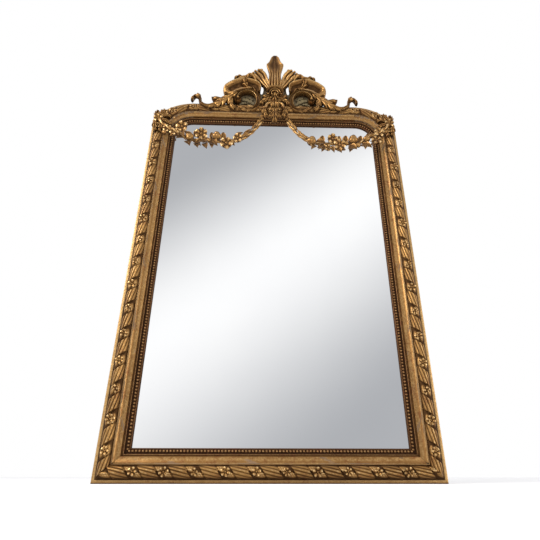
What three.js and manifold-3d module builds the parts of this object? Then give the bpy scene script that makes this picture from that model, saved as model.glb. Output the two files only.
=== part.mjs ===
// A gilded trumeau mirror: a tall moulded frame with shaped shoulders, a pierced rococo crest and two
// flower garlands that hang in front of the glass.
//
// Millimetres, +Z up, +X to the right, the front faces -Y. While the pieces are made, a point is
// [x, depth, z]: depth is counted forwards from the wall plane, and z upwards from the bottom edge.
// The finished group is moved so that its origin is the middle of its base.
import * as THREE from 'three'
import { mergeVertices } from 'three/addons/utils/BufferGeometryUtils.js'
import Module from 'manifold-3d'

const wasm = await Module()
wasm.setup()

// ---------------------------------------------------------------- driving dimensions
const BODY_WIDTH = 1000 // outer edge to outer edge of the frame
const BODY_HEIGHT = 1440 // bottom edge to the top edge of the top rail
const GAP = 0.3 // glue line or clearance between touching pieces

// The moulding, across its width from the outer edge inwards
const FILLET_WIDTH = 10 // flat outer band
const GROOVE_WIDTH = 2.5
const TORUS_WIDTH = 36 // the ornamented half round
const ARRIS_WIDTH = 1.5 // sharp outer lip of the cove
const COVE_WIDTH = 20
const QUIRK_WIDTH = 3 // dark channel between the cove and the sight slip
const LEDGE_WIDTH = 7 // seat of the sight slip on the rail
const LIP_WIDTH = 13 // how far the sight slip reaches over the glass
const BEAD_WIDTH = 3 // flat outer edge of the sight slip
const RIM_WIDTH = 3.5 // bevel of the sight slip beside the glass

// The moulding, from the wall forwards
const FILLET_DEPTH = 54 // face of the outer band and bed of the torus
const GROOVE_SINK = 5
const TORUS_HEIGHT = 16
const REED_HEIGHT = 2.5 // the reeded segments above the torus
const REED_COUNT = 3
const COVE_RISE = 6 // outer lip of the cove above the outer band
const COVE_SINK = 4 // inner edge of the cove below the outer band
const QUIRK_DEPTH = 42
const BEAD_DEPTH = 44
const RIM_DEPTH = 36
const PEARL_RADIUS = 4.7
const EDGE_CHAMFER = 2

// Glass and back
const RECESS = 10 // open space behind the battens for the hangers
const BATTEN_THICKNESS = 9.4
const BATTEN_WIDTH = 70
const BATTEN_LAP = 30 // how far a batten is let into each stile
const BOARD_THICKNESS = 6
const BOARD_COUNT = 3
const GLASS_THICKNESS = 4
const GLASS_CLEARANCE = 1 // beside and above the glass and its boards
const UPPER_BATTEN_DROP = 215 // from the top edge to the batten's middle
const LOWER_BATTEN_RISE = 330

// Shoulders
const SIGHT_RADIUS = 70 // rounded upper corner of the sight opening
const SHOULDER_DROP = 91 // from the top edge down to the angled outer corner

// Ribbon-and-flower ornament of the torus
const REPEAT = 85.7
const SEGMENT = 46 // reeded length in each repeat
const SLOPE = 3.5 // run of each end of a segment
const SLANT = 0.7 // run along the rail for each millimetre across it
const CORNER_PLAIN = 103 // plain torus beside each lower mitre
const FLOWER_RADIUS = 15

// Crest, measured from the middle of the top edge
const SQUARE = 10 // side of the squares that the carving is drawn on
const CREST_BOARD_THICKNESS = 18
const CREST_BOARD_HALF = 206 // half of its width where it stands on the rail
const CREST_THICKNESS = 30 // carving in front of the crest board
const SLOT_X = 57 // the open slots beside the shell
const SLOT_Z = 96
const SLOT_WIDTH = 17
const SLOT_HEIGHT = 70
const SCROLL_X = 116.5 // centre of each open scroll
const SCROLL_Z = 2
const SCROLL_HOLE = 42
const SCROLL_STRETCH = 9 // how much taller than wide each side of it is
const SCROLL_BAND = 15
const SHELL_Z = 45
const SHELL_RADIUS = 38
const POST_WIDTH = 30
const POST_THICKNESS = 18
const POST_DROP = 45 // how far each crest post is let into the top rail
const POST_HEIGHT = 96
const POST_X = 150
const LEAF_NECK = 0.18 // where on its swelling outline a leaf starts
const LEAF_NOTCH = 0.3 // how deep the notches between its lobes are
const LEAF_TIP = 0.07 // half width of its tip, in squares

// Garlands and the sprays on the angled corners that they are tied to
const SPRAY_INSET = 26 // from the frame's side
const SPRAY_DROP = 25 // below the angled corner
const GARLAND_BACK = 50 // back of the stem in front of the glass
const GARLAND_RISE = 24 // flowers above it
const GARLAND_SQUARES = 47.4 // squares from the middle to the spray

// Fixings
const SCREW_SHANK = 1.8
const SCREW_HEAD = 4
const SCREW_HEAD_HEIGHT = 1.6
const WIRE_RADIUS = 2
const EYE_CLEARANCE = 0.35
const EYE_WALL = 1.3
const RING_WIDTH = 26
const RING_DROP = 24
const HANGER_X = 300
const STRAP_WIDTH = 14
const STRAP_LENGTH = 44

// ---------------------------------------------------------------- sizes that follow from them
const TORUS_START = FILLET_WIDTH + GROOVE_WIDTH
const TORUS_END = TORUS_START + TORUS_WIDTH
const TORUS_MIDDLE = (TORUS_START + TORUS_END - GAP) / 2
const TORUS_HALF = (TORUS_WIDTH - GAP) / 2
const COVE_START = TORUS_END + ARRIS_WIDTH
const COVE_END = COVE_START + COVE_WIDTH
const SLIP_START = COVE_END + QUIRK_WIDTH
const LEDGE_END = SLIP_START + LEDGE_WIDTH
const RAIL_WIDTH = LEDGE_END + LIP_WIDTH
const HALF_WIDTH = BODY_WIDTH / 2
const BATTEN_FRONT = RECESS + BATTEN_THICKNESS
const BOARD_BACK = BATTEN_FRONT + GAP
const GLASS_BACK = BOARD_BACK + BOARD_THICKNESS + GAP
const LEDGE_DEPTH = GLASS_BACK + GLASS_THICKNESS
const TORUS_BED = FILLET_DEPTH + GAP
const CREST_SEAT = FILLET_DEPTH + GAP
const CREST_FRONT = CREST_SEAT + CREST_THICKNESS
const CORNER_RADIUS = SIGHT_RADIUS + RAIL_WIDTH // of the outer edge, were it a plain quarter round
const CORNER_X = HALF_WIDTH - CORNER_RADIUS
const CORNER_Z = BODY_HEIGHT - CORNER_RADIUS
const SCROLL_OUTER = SCROLL_HOLE + SCROLL_BAND
const CUTTER_DEPTH = 4 * FILLET_DEPTH // in front of everything

const FINISH = {
  gilt: { color: 0xae8d67, roughness: 0.38, metalness: 0.9 },
  gilt_shaded: { color: 0x79572f, roughness: 0.45, metalness: 0.85 },
  ochre: { color: 0x6e5a30, roughness: 0.8, metalness: 0 },
  wood: { color: 0x8a6a45, roughness: 0.75, metalness: 0 },
  silvered: { color: 0xc9ccd1, roughness: 0.03, metalness: 1 },
  steel: { color: 0x77736a, roughness: 0.4, metalness: 0.9 },
}

// ---------------------------------------------------------------- solids
// A closed solid from points [x, depth, z] and triangles that all turn the same way.
function solid(points, triangles) {
  const spots = points.map(([x, depth, z]) => new THREE.Vector3(x, -depth, z))
  let volume = 0
  for (const [a, b, c] of triangles) {
    volume += spots[a].dot(new THREE.Vector3().crossVectors(spots[b], spots[c]))
  }
  const outward = volume > 0 ? triangles : triangles.map(([a, b, c]) => [a, c, b])
  return new wasm.Manifold(new wasm.Mesh({
    numProp: 3,
    vertProperties: new Float32Array(spots.flatMap((spot) => spot.toArray())),
    triVerts: new Uint32Array(outward.flat()),
  }))
}

// A three.js geometry, already in its place, as a solid.
function fromGeometry(geometry) {
  geometry.deleteAttribute('normal')
  geometry.deleteAttribute('uv')
  const merged = mergeVertices(geometry, 1e-3)
  return new wasm.Manifold(new wasm.Mesh({
    numProp: 3,
    vertProperties: new Float32Array(merged.attributes.position.array),
    triVerts: new Uint32Array(merged.index.array),
  }))
}

const join = (first, ...rest) => rest.reduce((whole, piece) => whole.add(piece), first)
const cut = (first, ...tools) => tools.reduce((whole, tool) => whole.subtract(tool), first)

// A cut can leave crumbs beside the piece; only the largest body is the piece.
function largest(piece) {
  return piece.decompose().sort((a, b) => b.volume() - a.volume())[0]
}

function mirrored(piece) {
  const mesh = piece.getMesh()
  const places = Float32Array.from(mesh.vertProperties, (value, i) => (i % 3 === 0 ? -value : value))
  const corners = Uint32Array.from(mesh.triVerts)
  for (let i = 0; i < corners.length; i += 3) {
    [corners[i], corners[i + 1]] = [corners[i + 1], corners[i]]
  }
  return new wasm.Manifold(new wasm.Mesh({ numProp: 3, vertProperties: places, triVerts: corners }))
}

// Rings of matching points skinned into one solid. The outline gives the rings' flat shape for the
// two end caps; a closed run has no caps.
function loft(rings, outline, closed = false) {
  const count = rings[0].length
  const spans = closed ? rings.length : rings.length - 1
  const triangles = []
  for (let k = 0; k < spans; k++) {
    const here = k * count
    const next = ((k + 1) % rings.length) * count
    for (let i = 0; i < count; i++) {
      const j = (i + 1) % count
      triangles.push([here + i, here + j, next + j], [here + i, next + j, next + i])
    }
  }
  if (!closed) {
    const contour = outline.map(([u, v]) => new THREE.Vector2(u, v))
    const turn = Math.sign(THREE.ShapeUtils.area(contour))
    const end = (rings.length - 1) * count
    for (const [a, b, c] of THREE.ShapeUtils.triangulateShape(contour, [])) {
      const same = Math.sign(THREE.ShapeUtils.area([contour[a], contour[b], contour[c]])) === turn
      const [p, q, r] = same ? [a, b, c] : [a, c, b]
      triangles.push([p, r, q], [end + p, end + q, end + r])
    }
  }
  return solid(rings.flat(), triangles)
}

function box(x0, x1, depth0, depth1, z0, z1) {
  const geometry = new THREE.BoxGeometry(x1 - x0, depth1 - depth0, z1 - z0)
  geometry.translate((x0 + x1) / 2, -(depth0 + depth1) / 2, (z0 + z1) / 2)
  return fromGeometry(geometry)
}

// A round piece whose axis runs from the wall forwards.
function disc(x, z, radius, depth0, depth1, sides = 24, frontRadius = radius) {
  const geometry = new THREE.CylinderGeometry(radius, frontRadius, depth1 - depth0, sides)
  geometry.translate(x, -(depth0 + depth1) / 2, z)
  return fromGeometry(geometry)
}

// A flat outline in the frame's plane, from one depth to another.
function panel(shape, depth0, depth1, curveSegments = 6) {
  const depth = depth1 - depth0
  const geometry = new THREE.ExtrudeGeometry(shape, { depth, bevelEnabled: false, curveSegments })
  geometry.rotateX(Math.PI / 2)
  geometry.translate(0, -depth0, 0)
  return fromGeometry(geometry)
}

// A size that passes smoothly through the given [place, size] pairs.
function through(...pairs) {
  return (t) => {
    const next = pairs.findIndex(([place]) => place >= t)
    if (next <= 0) return pairs[next === 0 ? 0 : pairs.length - 1][1]
    const [[t0, a], [t1, b]] = [pairs[next - 1], pairs[next]]
    return a + (b - a) * THREE.MathUtils.smoothstep(t, t0, t1)
  }
}

// ---------------------------------------------------------------- the moulding's sections
const steps = (count, make) => Array.from({ length: count + 1 }, (_, i) => make(i / count))

// Points [across, depth] of the cove, from its outer lip to its inner edge.
function coveLine(raise = 0) {
  const fall = COVE_RISE + COVE_SINK
  return steps(5, (t) => {
    const turn = t * Math.PI / 2
    return [
      COVE_START + COVE_WIDTH * (1 - Math.cos(turn)) + raise,
      FILLET_DEPTH + COVE_RISE - fall * Math.sin(turn) + raise,
    ]
  })
}

function railSection() {
  return [
    [0, 0],
    [0, FILLET_DEPTH - EDGE_CHAMFER],
    [EDGE_CHAMFER, FILLET_DEPTH],
    [FILLET_WIDTH, FILLET_DEPTH],
    [FILLET_WIDTH, FILLET_DEPTH - GROOVE_SINK],
    [TORUS_START, FILLET_DEPTH - GROOVE_SINK],
    [TORUS_START, FILLET_DEPTH],
    [TORUS_END, FILLET_DEPTH],
    [TORUS_END, FILLET_DEPTH + COVE_RISE],
    ...coveLine(),
    [COVE_END, QUIRK_DEPTH],
    [SLIP_START, QUIRK_DEPTH],
    [SLIP_START, LEDGE_DEPTH],
    [LEDGE_END, LEDGE_DEPTH],
    [LEDGE_END, 0],
  ]
}

// The sight slip: a flat bead, a half round that carries the pearls, and a bevel beside the glass.
function slipSection() {
  const outer = SLIP_START + GAP
  const bed = RIM_DEPTH + 1.5
  const pearl = RAIL_WIDTH - RIM_WIDTH - PEARL_RADIUS - GAP
  return [
    [outer, LEDGE_DEPTH + GAP],
    [outer, BEAD_DEPTH],
    [outer + BEAD_WIDTH, BEAD_DEPTH],
    [outer + BEAD_WIDTH + 1, bed],
    ...steps(4, (t) => [
      pearl - PEARL_RADIUS * Math.cos(t * Math.PI),
      bed + PEARL_RADIUS * Math.sin(t * Math.PI),
    ]),
    [RAIL_WIDTH - RIM_WIDTH + 1, bed + 1],
    [RAIL_WIDTH, RIM_DEPTH],
    [RAIL_WIDTH, LEDGE_DEPTH + GAP],
  ]
}

// The whole front of the moulding a glue line proud, to cut what is laid over it.
function coverSection() {
  const peak = TORUS_HEIGHT + REED_HEIGHT + GAP
  return [
    [-GAP, -1],
    [-GAP, FILLET_DEPTH + GAP],
    ...steps(2 * REED_COUNT, (t) => [
      TORUS_MIDDLE - (TORUS_HALF + GAP) * Math.cos(t * Math.PI),
      TORUS_BED + peak * Math.sin(t * Math.PI),
    ]),
    [TORUS_END - GAP / 2, FILLET_DEPTH + COVE_RISE + GAP],
    ...coveLine(GAP),
    [SLIP_START, BEAD_DEPTH + GAP],
    [RAIL_WIDTH + GAP, BEAD_DEPTH + GAP],
    [RAIL_WIDTH + GAP, -1],
  ]
}

// ---------------------------------------------------------------- the frame's six runs
// Each run places a section point (across, depth) at a distance t along the frame.
const RUNS = {
  left_stile: (across, depth, t) => [across - HALF_WIDTH, depth, t],
  bottom_rail: (across, depth, t) => [t, depth, across],
  top_rail: (across, depth, t) => [t, depth, BODY_HEIGHT - across],
  left_shoulder: (across, depth, t) => {
    const turn = t / TORUS_ARC
    const reach = shoulderReach(across, turn)
    return [-CORNER_X - reach * Math.sin(turn), depth, CORNER_Z + reach * Math.cos(turn)]
  },
}

// The middle line of the torus on the shoulder, and the whole length of it.
const TORUS_ARC = CORNER_RADIUS - TORUS_MIDDLE
const SHOULDER_LENGTH = TORUS_ARC * Math.PI / 2
const OUTER_ARC = (CORNER_RADIUS ** 2 + SHOULDER_DROP ** 2) / (2 * SHOULDER_DROP)
const OUTER_CORNER = Math.atan2(CORNER_RADIUS, CORNER_RADIUS - SHOULDER_DROP)

// Distance from the shoulder's centre: the cove and slip turn in true quarter rounds, while the
// outer edge is a flatter arc that meets the stile at an angle, so the torus is broader there.
function shoulderReach(across, turn) {
  const inner = CORNER_RADIUS - TORUS_END
  if (across >= TORUS_END) return CORNER_RADIUS - across
  const offset = CORNER_RADIUS - OUTER_ARC
  const outer = turn < OUTER_CORNER
    ? Math.cos(turn) * offset + Math.sqrt(OUTER_ARC ** 2 - (Math.sin(turn) * offset) ** 2)
    : CORNER_RADIUS / Math.sin(turn)
  return inner + (outer - inner) * (TORUS_END - across) / TORUS_END
}

const ringOf = (section, place, along) =>
  section.map(([across, depth]) => place(across, depth, typeof along === 'function' ? along(across) : along))

function straight(section, run, from, to) {
  return loft([ringOf(section, RUNS[run], from), ringOf(section, RUNS[run], to)], section)
}

function shoulder(section) {
  const corner = OUTER_CORNER * TORUS_ARC
  const stops = [...steps(6, (t) => t * corner), corner + (SHOULDER_LENGTH - corner) / 2, SHOULDER_LENGTH]
  return loft(stops.map((t) => ringOf(section, RUNS.left_shoulder, t)), section)
}

const stile = (section) => straight(section, 'left_stile', (across) => across + GAP, CORNER_Z - GAP)
const bottom = (section) =>
  straight(section, 'bottom_rail', (across) => across - HALF_WIDTH, (across) => HALF_WIDTH - across)
const top = (section) => straight(section, 'top_rail', GAP - CORNER_X, CORNER_X - GAP)

// ---------------------------------------------------------------- torus with its ornament
// One ring of the torus. On a reeded segment the reeds stand up between valleys.
function torusRing(reeded, place, along, grow) {
  return steps(2 * REED_COUNT, (t) => t * Math.PI).map((turn, i) => {
    const across = TORUS_MIDDLE - (TORUS_HALF + grow) * Math.cos(turn)
    const height = TORUS_HEIGHT + grow + (reeded ? REED_HEIGHT * (i % 2) : -1)
    const shift = typeof along === 'function' ? along(across) : along
    return place(across, TORUS_BED + height * Math.sin(turn), shift)
  })
}

// A run of torus. Its reeded segments start at the given places, with slanting ends.
function torusRun(run, from, to, starts, slant, { between = [], grow = 0 } = {}) {
  const place = RUNS[run]
  const slanted = (t) => (across) => t + slant * (across - TORUS_MIDDLE)
  const marks = starts.flatMap((t) => [
    [t, false], [t + SLOPE, true], [t + SEGMENT - SLOPE, true], [t + SEGMENT, false],
  ])
  const plain = between.map((t) => [t, false])
  const inner = [...marks, ...plain].sort((a, b) => a[0] - b[0])
  const rings = [
    torusRing(false, place, from, grow),
    ...inner.map(([t, reeded]) => torusRing(reeded, place, slanted(t), grow)),
    torusRing(false, place, to, grow),
  ]
  return loft(rings, steps(2 * REED_COUNT, (t) => [-Math.cos(t * Math.PI), Math.sin(t * Math.PI)]))
}

// A flower facing forwards at (x, z): pointed petals round a raised heart.
function flower(x, z, radius, back, front, { turn = 0, petals = 5, open = true } = {}) {
  const circle = (size, depth, notch) => steps(2 * petals - 1, (t) => t).map((_, i) => {
    const angle = turn + i * Math.PI / petals
    const reach = size * (i % 2 ? notch : 1)
    return [x + reach * Math.cos(angle), depth, z + reach * Math.sin(angle)]
  })
  const rise = front - back
  const rings = [circle(radius, back, 0.62)]
  if (open) rings.push(circle(radius * 0.9, back + rise * 0.7, 0.6))
  rings.push(circle(radius * 0.28, front, 1))
  return loft(rings, circle(1, 0, 0.62).map(([px, , pz]) => [px - x, pz - z]))
}

// The flowers sit between the segments, halfway up the torus.
function flowersOn(run, places) {
  return places.map((t) => {
    const [x, , z] = RUNS[run](TORUS_MIDDLE, 0, t)
    const crown = TORUS_BED + TORUS_HEIGHT
    const [back, front] = [crown - TORUS_HEIGHT / 2, crown + 2 * REED_HEIGHT]
    return flower(x, z, FLOWER_RADIUS, back, front, { open: false, petals: 4 })
  })
}

const count = (length) => Math.floor(length / REPEAT)
const repeats = (start, number) => Array.from({ length: number }, (_, k) => start + k * REPEAT)
const flowerOffset = (SEGMENT + REPEAT) / 2

function stileTorus() {
  const number = count(CORNER_Z - CORNER_PLAIN)
  const starts = repeats(CORNER_PLAIN, number)
  const strip = torusRun('left_stile', (across) => across + GAP, CORNER_Z - GAP, starts, SLANT)
  return join(strip, ...flowersOn('left_stile', starts.slice(0, -1).map((t) => t + flowerOffset)))
}

function bottomTorus() {
  const number = count(BODY_WIDTH - 2 * CORNER_PLAIN + REPEAT - SEGMENT)
  const start = -(number * REPEAT - (REPEAT - SEGMENT)) / 2
  const starts = repeats(start, number)
  const from = (across) => across - HALF_WIDTH
  const strip = torusRun('bottom_rail', from, (across) => -from(across), starts, -SLANT)
  return join(strip, ...flowersOn('bottom_rail', starts.slice(0, -1).map((t) => t + flowerOffset)))
}

// On the top rail the slant changes hands under the crest.
function topTorus() {
  const number = count(CORNER_X - SEGMENT / 2)
  const starts = repeats(SEGMENT / 2, number)
  const half = torusRun('top_rail', 0, CORNER_X - GAP, starts, -SLANT)
  return join(half, mirrored(half))
}

function shoulderTorus(grow = 0) {
  const starts = [SEGMENT / 2, SEGMENT / 2 + REPEAT]
  const bend = (t) => SEGMENT * 1.5 + SLOPE + t * (REPEAT - SEGMENT - 2 * SLOPE)
  const between = [...steps(2, bend), SHOULDER_LENGTH * 0.85]
  const strip = torusRun('left_shoulder', 0, SHOULDER_LENGTH, starts, SLANT, { between, grow })
  if (grow) return strip
  const lip = [[TORUS_END - GAP, 0], [TORUS_END - GAP, FILLET_DEPTH + COVE_RISE + GAP],
    [COVE_END, FILLET_DEPTH + COVE_RISE + GAP], [COVE_END, 0]]
  const fitted = cut(strip, shoulder(lip))
  return join(fitted, ...flowersOn('left_shoulder', [starts[0] + flowerOffset]))
}

// ---------------------------------------------------------------- carved straps and leaves
// Sections [u, v] across a carved strap: u runs from the right of the way to its left, v is height.
const LEAF = [[-1, 0], [-0.35, 0.8], [0, 1], [0.35, 0.8], [1, 0]]
const BLADE = [[-1, 0], [-0.15, 1], [0.15, 1], [1, 0]]
const STEM = [[-1, 0], [-0.8, 0.7], [0, 1], [0.8, 0.7], [1, 0]]
const FLUTED = [[-1, 0], [-1, 0.35], [-0.7, 0.85], [-0.4, 0.5], [-0.15, 1],
  [0.15, 1], [0.4, 0.5], [0.7, 0.85], [1, 0.35], [1, 0]]
const SCROLL = [[-1, 0], [-1, 0.7], [-0.5, 1], [0, 0.7], [0.6, 0.65], [1, 0.9], [1, 0]]
const HOOD = [[-1, 0], [-1, 0.45], [-0.3, 0.5], [0.3, 0.62], [0.6, 0.9], [0.75, 1], [1, 0.85], [1, 0]]
const WALLS = [[-1, 0], [-1, 1], [1, 1], [1, 0]] // upright walls, for cutting a neighbour

// A strap carved along a curve in the frame's plane. grow turns it into a cutter with that clearance.
function strap(points, { section = LEAF, width, height, back = () => CREST_SEAT, rings = 8, grow = 0 }) {
  const profile = grow ? WALLS : section
  const way = new THREE.SplineCurve(points.map(([x, z]) => new THREE.Vector2(x, z)))
  const loops = steps(rings, (t) => {
    const centre = way.getPointAt(t)
    const along = way.getTangentAt(t)
    const stretch = grow && (t === 0 || t === 1) ? (t - 0.5) * 2 * grow : 0
    const half = width(t) + grow
    return profile.map(([u, v]) => [
      centre.x - along.y * u * half + along.x * stretch,
      grow ? v * CUTTER_DEPTH : back(t) + v * height(t),
      centre.y + along.x * u * half + along.y * stretch,
    ])
  })
  return loft(loops, profile)
}

// The crest is drawn on squares: points count squares from the middle of the top edge, widths count
// squares too, and heights are shares of the crest's thickness.
const crest = (points) => points.map(([x, z]) => [x * SQUARE, BODY_HEIGHT + z * SQUARE])
const constant = (value) => () => value
const drawn = (points, { width, height, ...others }) => strap(points, {
  width: (t) => width(t) * SQUARE, height: (t) => height(t) * CREST_THICKNESS, ...others,
})

// Half the width of a pointed leaf whose edge is notched into lobes.
function leafWidth(half, lobes) {
  return (t) => {
    const body = half * Math.sin(Math.PI * Math.min(1, LEAF_NECK + (1 - LEAF_NECK) * t) ** 0.8)
    return Math.max(LEAF_TIP, body * (1 - LEAF_NOTCH * ((lobes * t) % 1)))
  }
}

const shellZ = BODY_HEIGHT + SHELL_Z
const scrollZ = BODY_HEIGHT + SCROLL_Z

const shellCutter = () => disc(0, shellZ, SHELL_RADIUS + GAP, 0, CUTTER_DEPTH, 32)

// The scroll is taller than it is wide, so its cutter is an oval.
function scrollCutter() {
  const radius = SCROLL_OUTER + GAP
  const geometry = new THREE.CylinderGeometry(radius, radius, CUTTER_DEPTH, 40)
  geometry.scale(1, 1, (radius + SCROLL_STRETCH) / radius)
  geometry.translate(SCROLL_X, -CUTTER_DEPTH / 2, scrollZ)
  return fromGeometry(geometry)
}

// The small leaf that spills out of the shell over the pendant.
function spill(grow = 0) {
  const way = [[0, 0.16], [0.03, -0.58], [-0.05, -1.26]]
    .map(([x, z]) => [x * SHELL_RADIUS, shellZ + z * SHELL_RADIUS])
  const height = through([0, 0.87], [0.5, 1.17], [1, 0.8])
  return drawn(way, { width: leafWidth(1.1, 2), height, rings: 4, grow })
}

// The cabochon under its hood: a coiled hood, a domed heart and a small leaf that spills out of it.
function shell() {
  const band = SHELL_RADIUS * 0.22
  const rise = CREST_THICKNESS * 1.13
  const middle = SHELL_RADIUS - band
  const start = -Math.PI * 0.28
  const hoodWay = steps(8, (t) => {
    const turn = Math.PI - start - t * (Math.PI - 2 * start)
    return [middle * Math.cos(turn), shellZ + middle * Math.sin(turn)]
  })
  const volute = band * 1.25
  const [endX, endZ] = hoodWay[hoodWay.length - 1]
  const front = CREST_SEAT + rise
  const eye = (side) => disc(side * (endX - volute * 0.3), endZ, volute, CREST_SEAT, front, 8, volute * 0.7)
  const heart = new THREE.SphereGeometry(SHELL_RADIUS * 0.46, 8, 5)
  heart.scale(1, 1.1, 1)
  heart.translate(0, -(CREST_SEAT + CREST_THICKNESS * 0.45), shellZ + SHELL_RADIUS * 0.15)
  const behind = box(-SHELL_RADIUS, SHELL_RADIUS, 0, CREST_SEAT, shellZ - SHELL_RADIUS, shellZ + SHELL_RADIUS)
  return join(
    disc(0, shellZ, SHELL_RADIUS * 0.86, CREST_SEAT, CREST_SEAT + CREST_THICKNESS * 0.4, 12),
    strap(hoodWay, { section: SCROLL, width: constant(band), height: constant(rise), rings: 10 }),
    eye(-1), eye(1), cut(fromGeometry(heart), behind), spill(),
  )
}

// The pierced C-scroll: it starts in a leaf curl over the rail, runs up beside the shell, over the
// top, and ends in a small volute.
function scroll() {
  const half = SCROLL_BAND / 2
  const [across, tall] = [SCROLL_HOLE + half, SCROLL_HOLE + SCROLL_STRETCH + half]
  const [from, to] = [Math.PI * 1.5, Math.PI * 0.04]
  const way = steps(14, (t) => {
    const turn = from + t * (to - from)
    return [SCROLL_X + across * Math.cos(turn), scrollZ + tall * Math.sin(turn)]
  })
  const [endX, endZ] = way[way.length - 1]
  const [startX, startZ] = way[0]
  const curl = [[-0.3, 0.1], [0.8, 0.3], [1.7, 1.05]]
    .map(([x, z]) => [startX + x * SCROLL_BAND, startZ + z * SCROLL_BAND])
  return join(
    strap(way, { section: SCROLL, width: through([0, half * 0.4], [0.25, half], [1, half]),
      height: constant(CREST_THICKNESS), rings: 14 }),
    disc(endX - half * 0.9, endZ, half * 1.25, CREST_SEAT, CREST_FRONT + GAP, 8, half * 0.8),
    drawn(curl, { width: leafWidth(0.65, 2), height: constant(0.93), rings: 4 }),
  )
}

const HOOD_WAY = crest([[8, 6], [8.5, 9], [11.8, 9.9], [16.8, 8.9], [20.8, 5.4]])
const HOOD_WIDTH = through([0, 1.2], [0.25, 2.6], [0.5, 3], [0.8, 2.7], [1, 1.6])
function hood(grow = 0) {
  return drawn(HOOD_WAY, { section: HOOD, width: HOOD_WIDTH, height: constant(0.87), rings: 12, grow })
}

const PETAL_WAY = crest([[2.8, 8.9], [4.4, 12.2], [6.2, 15], [8.2, 16.7]])
const PETAL_WIDTH = through([0, 0.9], [0.5, 1.9], [0.85, 2.4], [1, 1.4])
function petal(grow = 0) {
  return drawn(PETAL_WAY, { section: FLUTED, width: PETAL_WIDTH, rings: 7, grow,
    height: through([0, 0.6], [0.7, 0.8], [1, 1]) })
}

const FINIAL_WAY = crest([[0, 6.5], [0, 17], [0, 29.3]])
const FINIAL_WIDTH = through([0, 2.4], [0.2, 3.2], [0.47, 2.6], [0.7, 3.75], [0.86, 2.5], [1, 0.08])
function finial(grow = 0) {
  return drawn(FINIAL_WAY, { section: FLUTED, width: FINIAL_WIDTH, grow, rings: 12,
    height: through([0, 0.67], [0.45, 0.53], [0.72, 0.73], [1, 0.27]) })
}

// Three rounded lobes of a leaf that climbs over the hood's lip.
function lobes() {
  const height = through([0, 0.73], [0.6, 0.87], [1, 0.6])
  const lobe = (points, half) => drawn(crest(points), { rings: 4, section: STEM, height,
    width: through([0, half], [0.6, half], [1, half * 0.45]) })
  return join(
    lobe([[11, 11.8], [11.6, 14.2], [12, 16.5]], 1.3),
    lobe([[12.4, 11.8], [14.4, 13], [15.8, 14]], 1.3),
    lobe([[10.8, 12], [10, 13.4], [9.5, 14.8]], 1),
  )
}

// The acanthus branch that runs out over the rail and turns up in a curl.
function branch() {
  const way = crest([[17, 2], [20.5, -1], [25.2, -2.8], [29.2, -2.6], [31.2, -0.4], [31.8, 2.4]])
  const stem = drawn(way, { rings: 9, height: constant(1.07),
    width: through([0, 1.8], [0.22, 2.1], [0.5, 1.1], [0.75, 0.8], [1, 0.9]) })
  const leaf = (points, half, number = 3) => drawn(crest(points), { width: leafWidth(half, number), rings: 4,
    section: BLADE, height: through([0, 0.87], [0.5, 1], [1, 0.87]) })
  return join(
    stem,
    leaf([[19.6, 0], [23.2, 0.6], [26.4, 2]], 1.4),
    leaf([[19, -0.8], [21.6, -2.8], [24.4, -4.5]], 1.3),
    leaf([[22.6, -1.8], [25.8, -3.6], [28.6, -4.5]], 0.9, 2),
    leaf([[31.6, 1.2], [33, 2.6], [35, -0.6]], 1, 2),
    leaf([[18, 1.2], [18.6, -1.6], [17.2, -4]], 1.3),
  )
}

// The acanthus pendant below the shell: a middle leaf and three pairs of side leaves.
function pendant(grow = 0) {
  const leaf = (points, half, number, rise = 1) => drawn(crest(points), { rings: 4, grow,
    width: leafWidth(half, number), height: through([0, rise], [0.6, rise], [1, rise * 0.4]) })
  const pair = (points, half, number) => {
    const side = leaf(points, half, number)
    return [side, mirrored(side)]
  }
  return join(
    leaf([[0, 1.4], [0, -5.5], [0, -11.4]], 1.9, 4, 1.13),
    ...pair([[0.4, 0.4], [3, 0.4], [5, -1.6]], 1.6, 3),
    ...pair([[0.4, -1.4], [2.6, -4.2], [3.4, -8.4]], 1.4, 3),
    ...pair([[1, 1.2], [3.2, 1.4], [4.4, 3]], 0.9, 2),
  )
}

// ---------------------------------------------------------------- garlands and sprays
const SPRAY_X = HALF_WIDTH - SPRAY_INSET
const SPRAY_Z = BODY_HEIGHT - SHOULDER_DROP - SPRAY_DROP
const SPRAY_HEART = 2.4 * SQUARE // room that the garland leaves for the spray's flower

// The garlands are drawn on the same squares, stretched so that they end at the corner spray.
const STRETCHED = SPRAY_X / (GARLAND_SQUARES * SQUARE)
const hung = (points) => crest(points.map(([x, z]) => [x * STRETCHED, z]))

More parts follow.
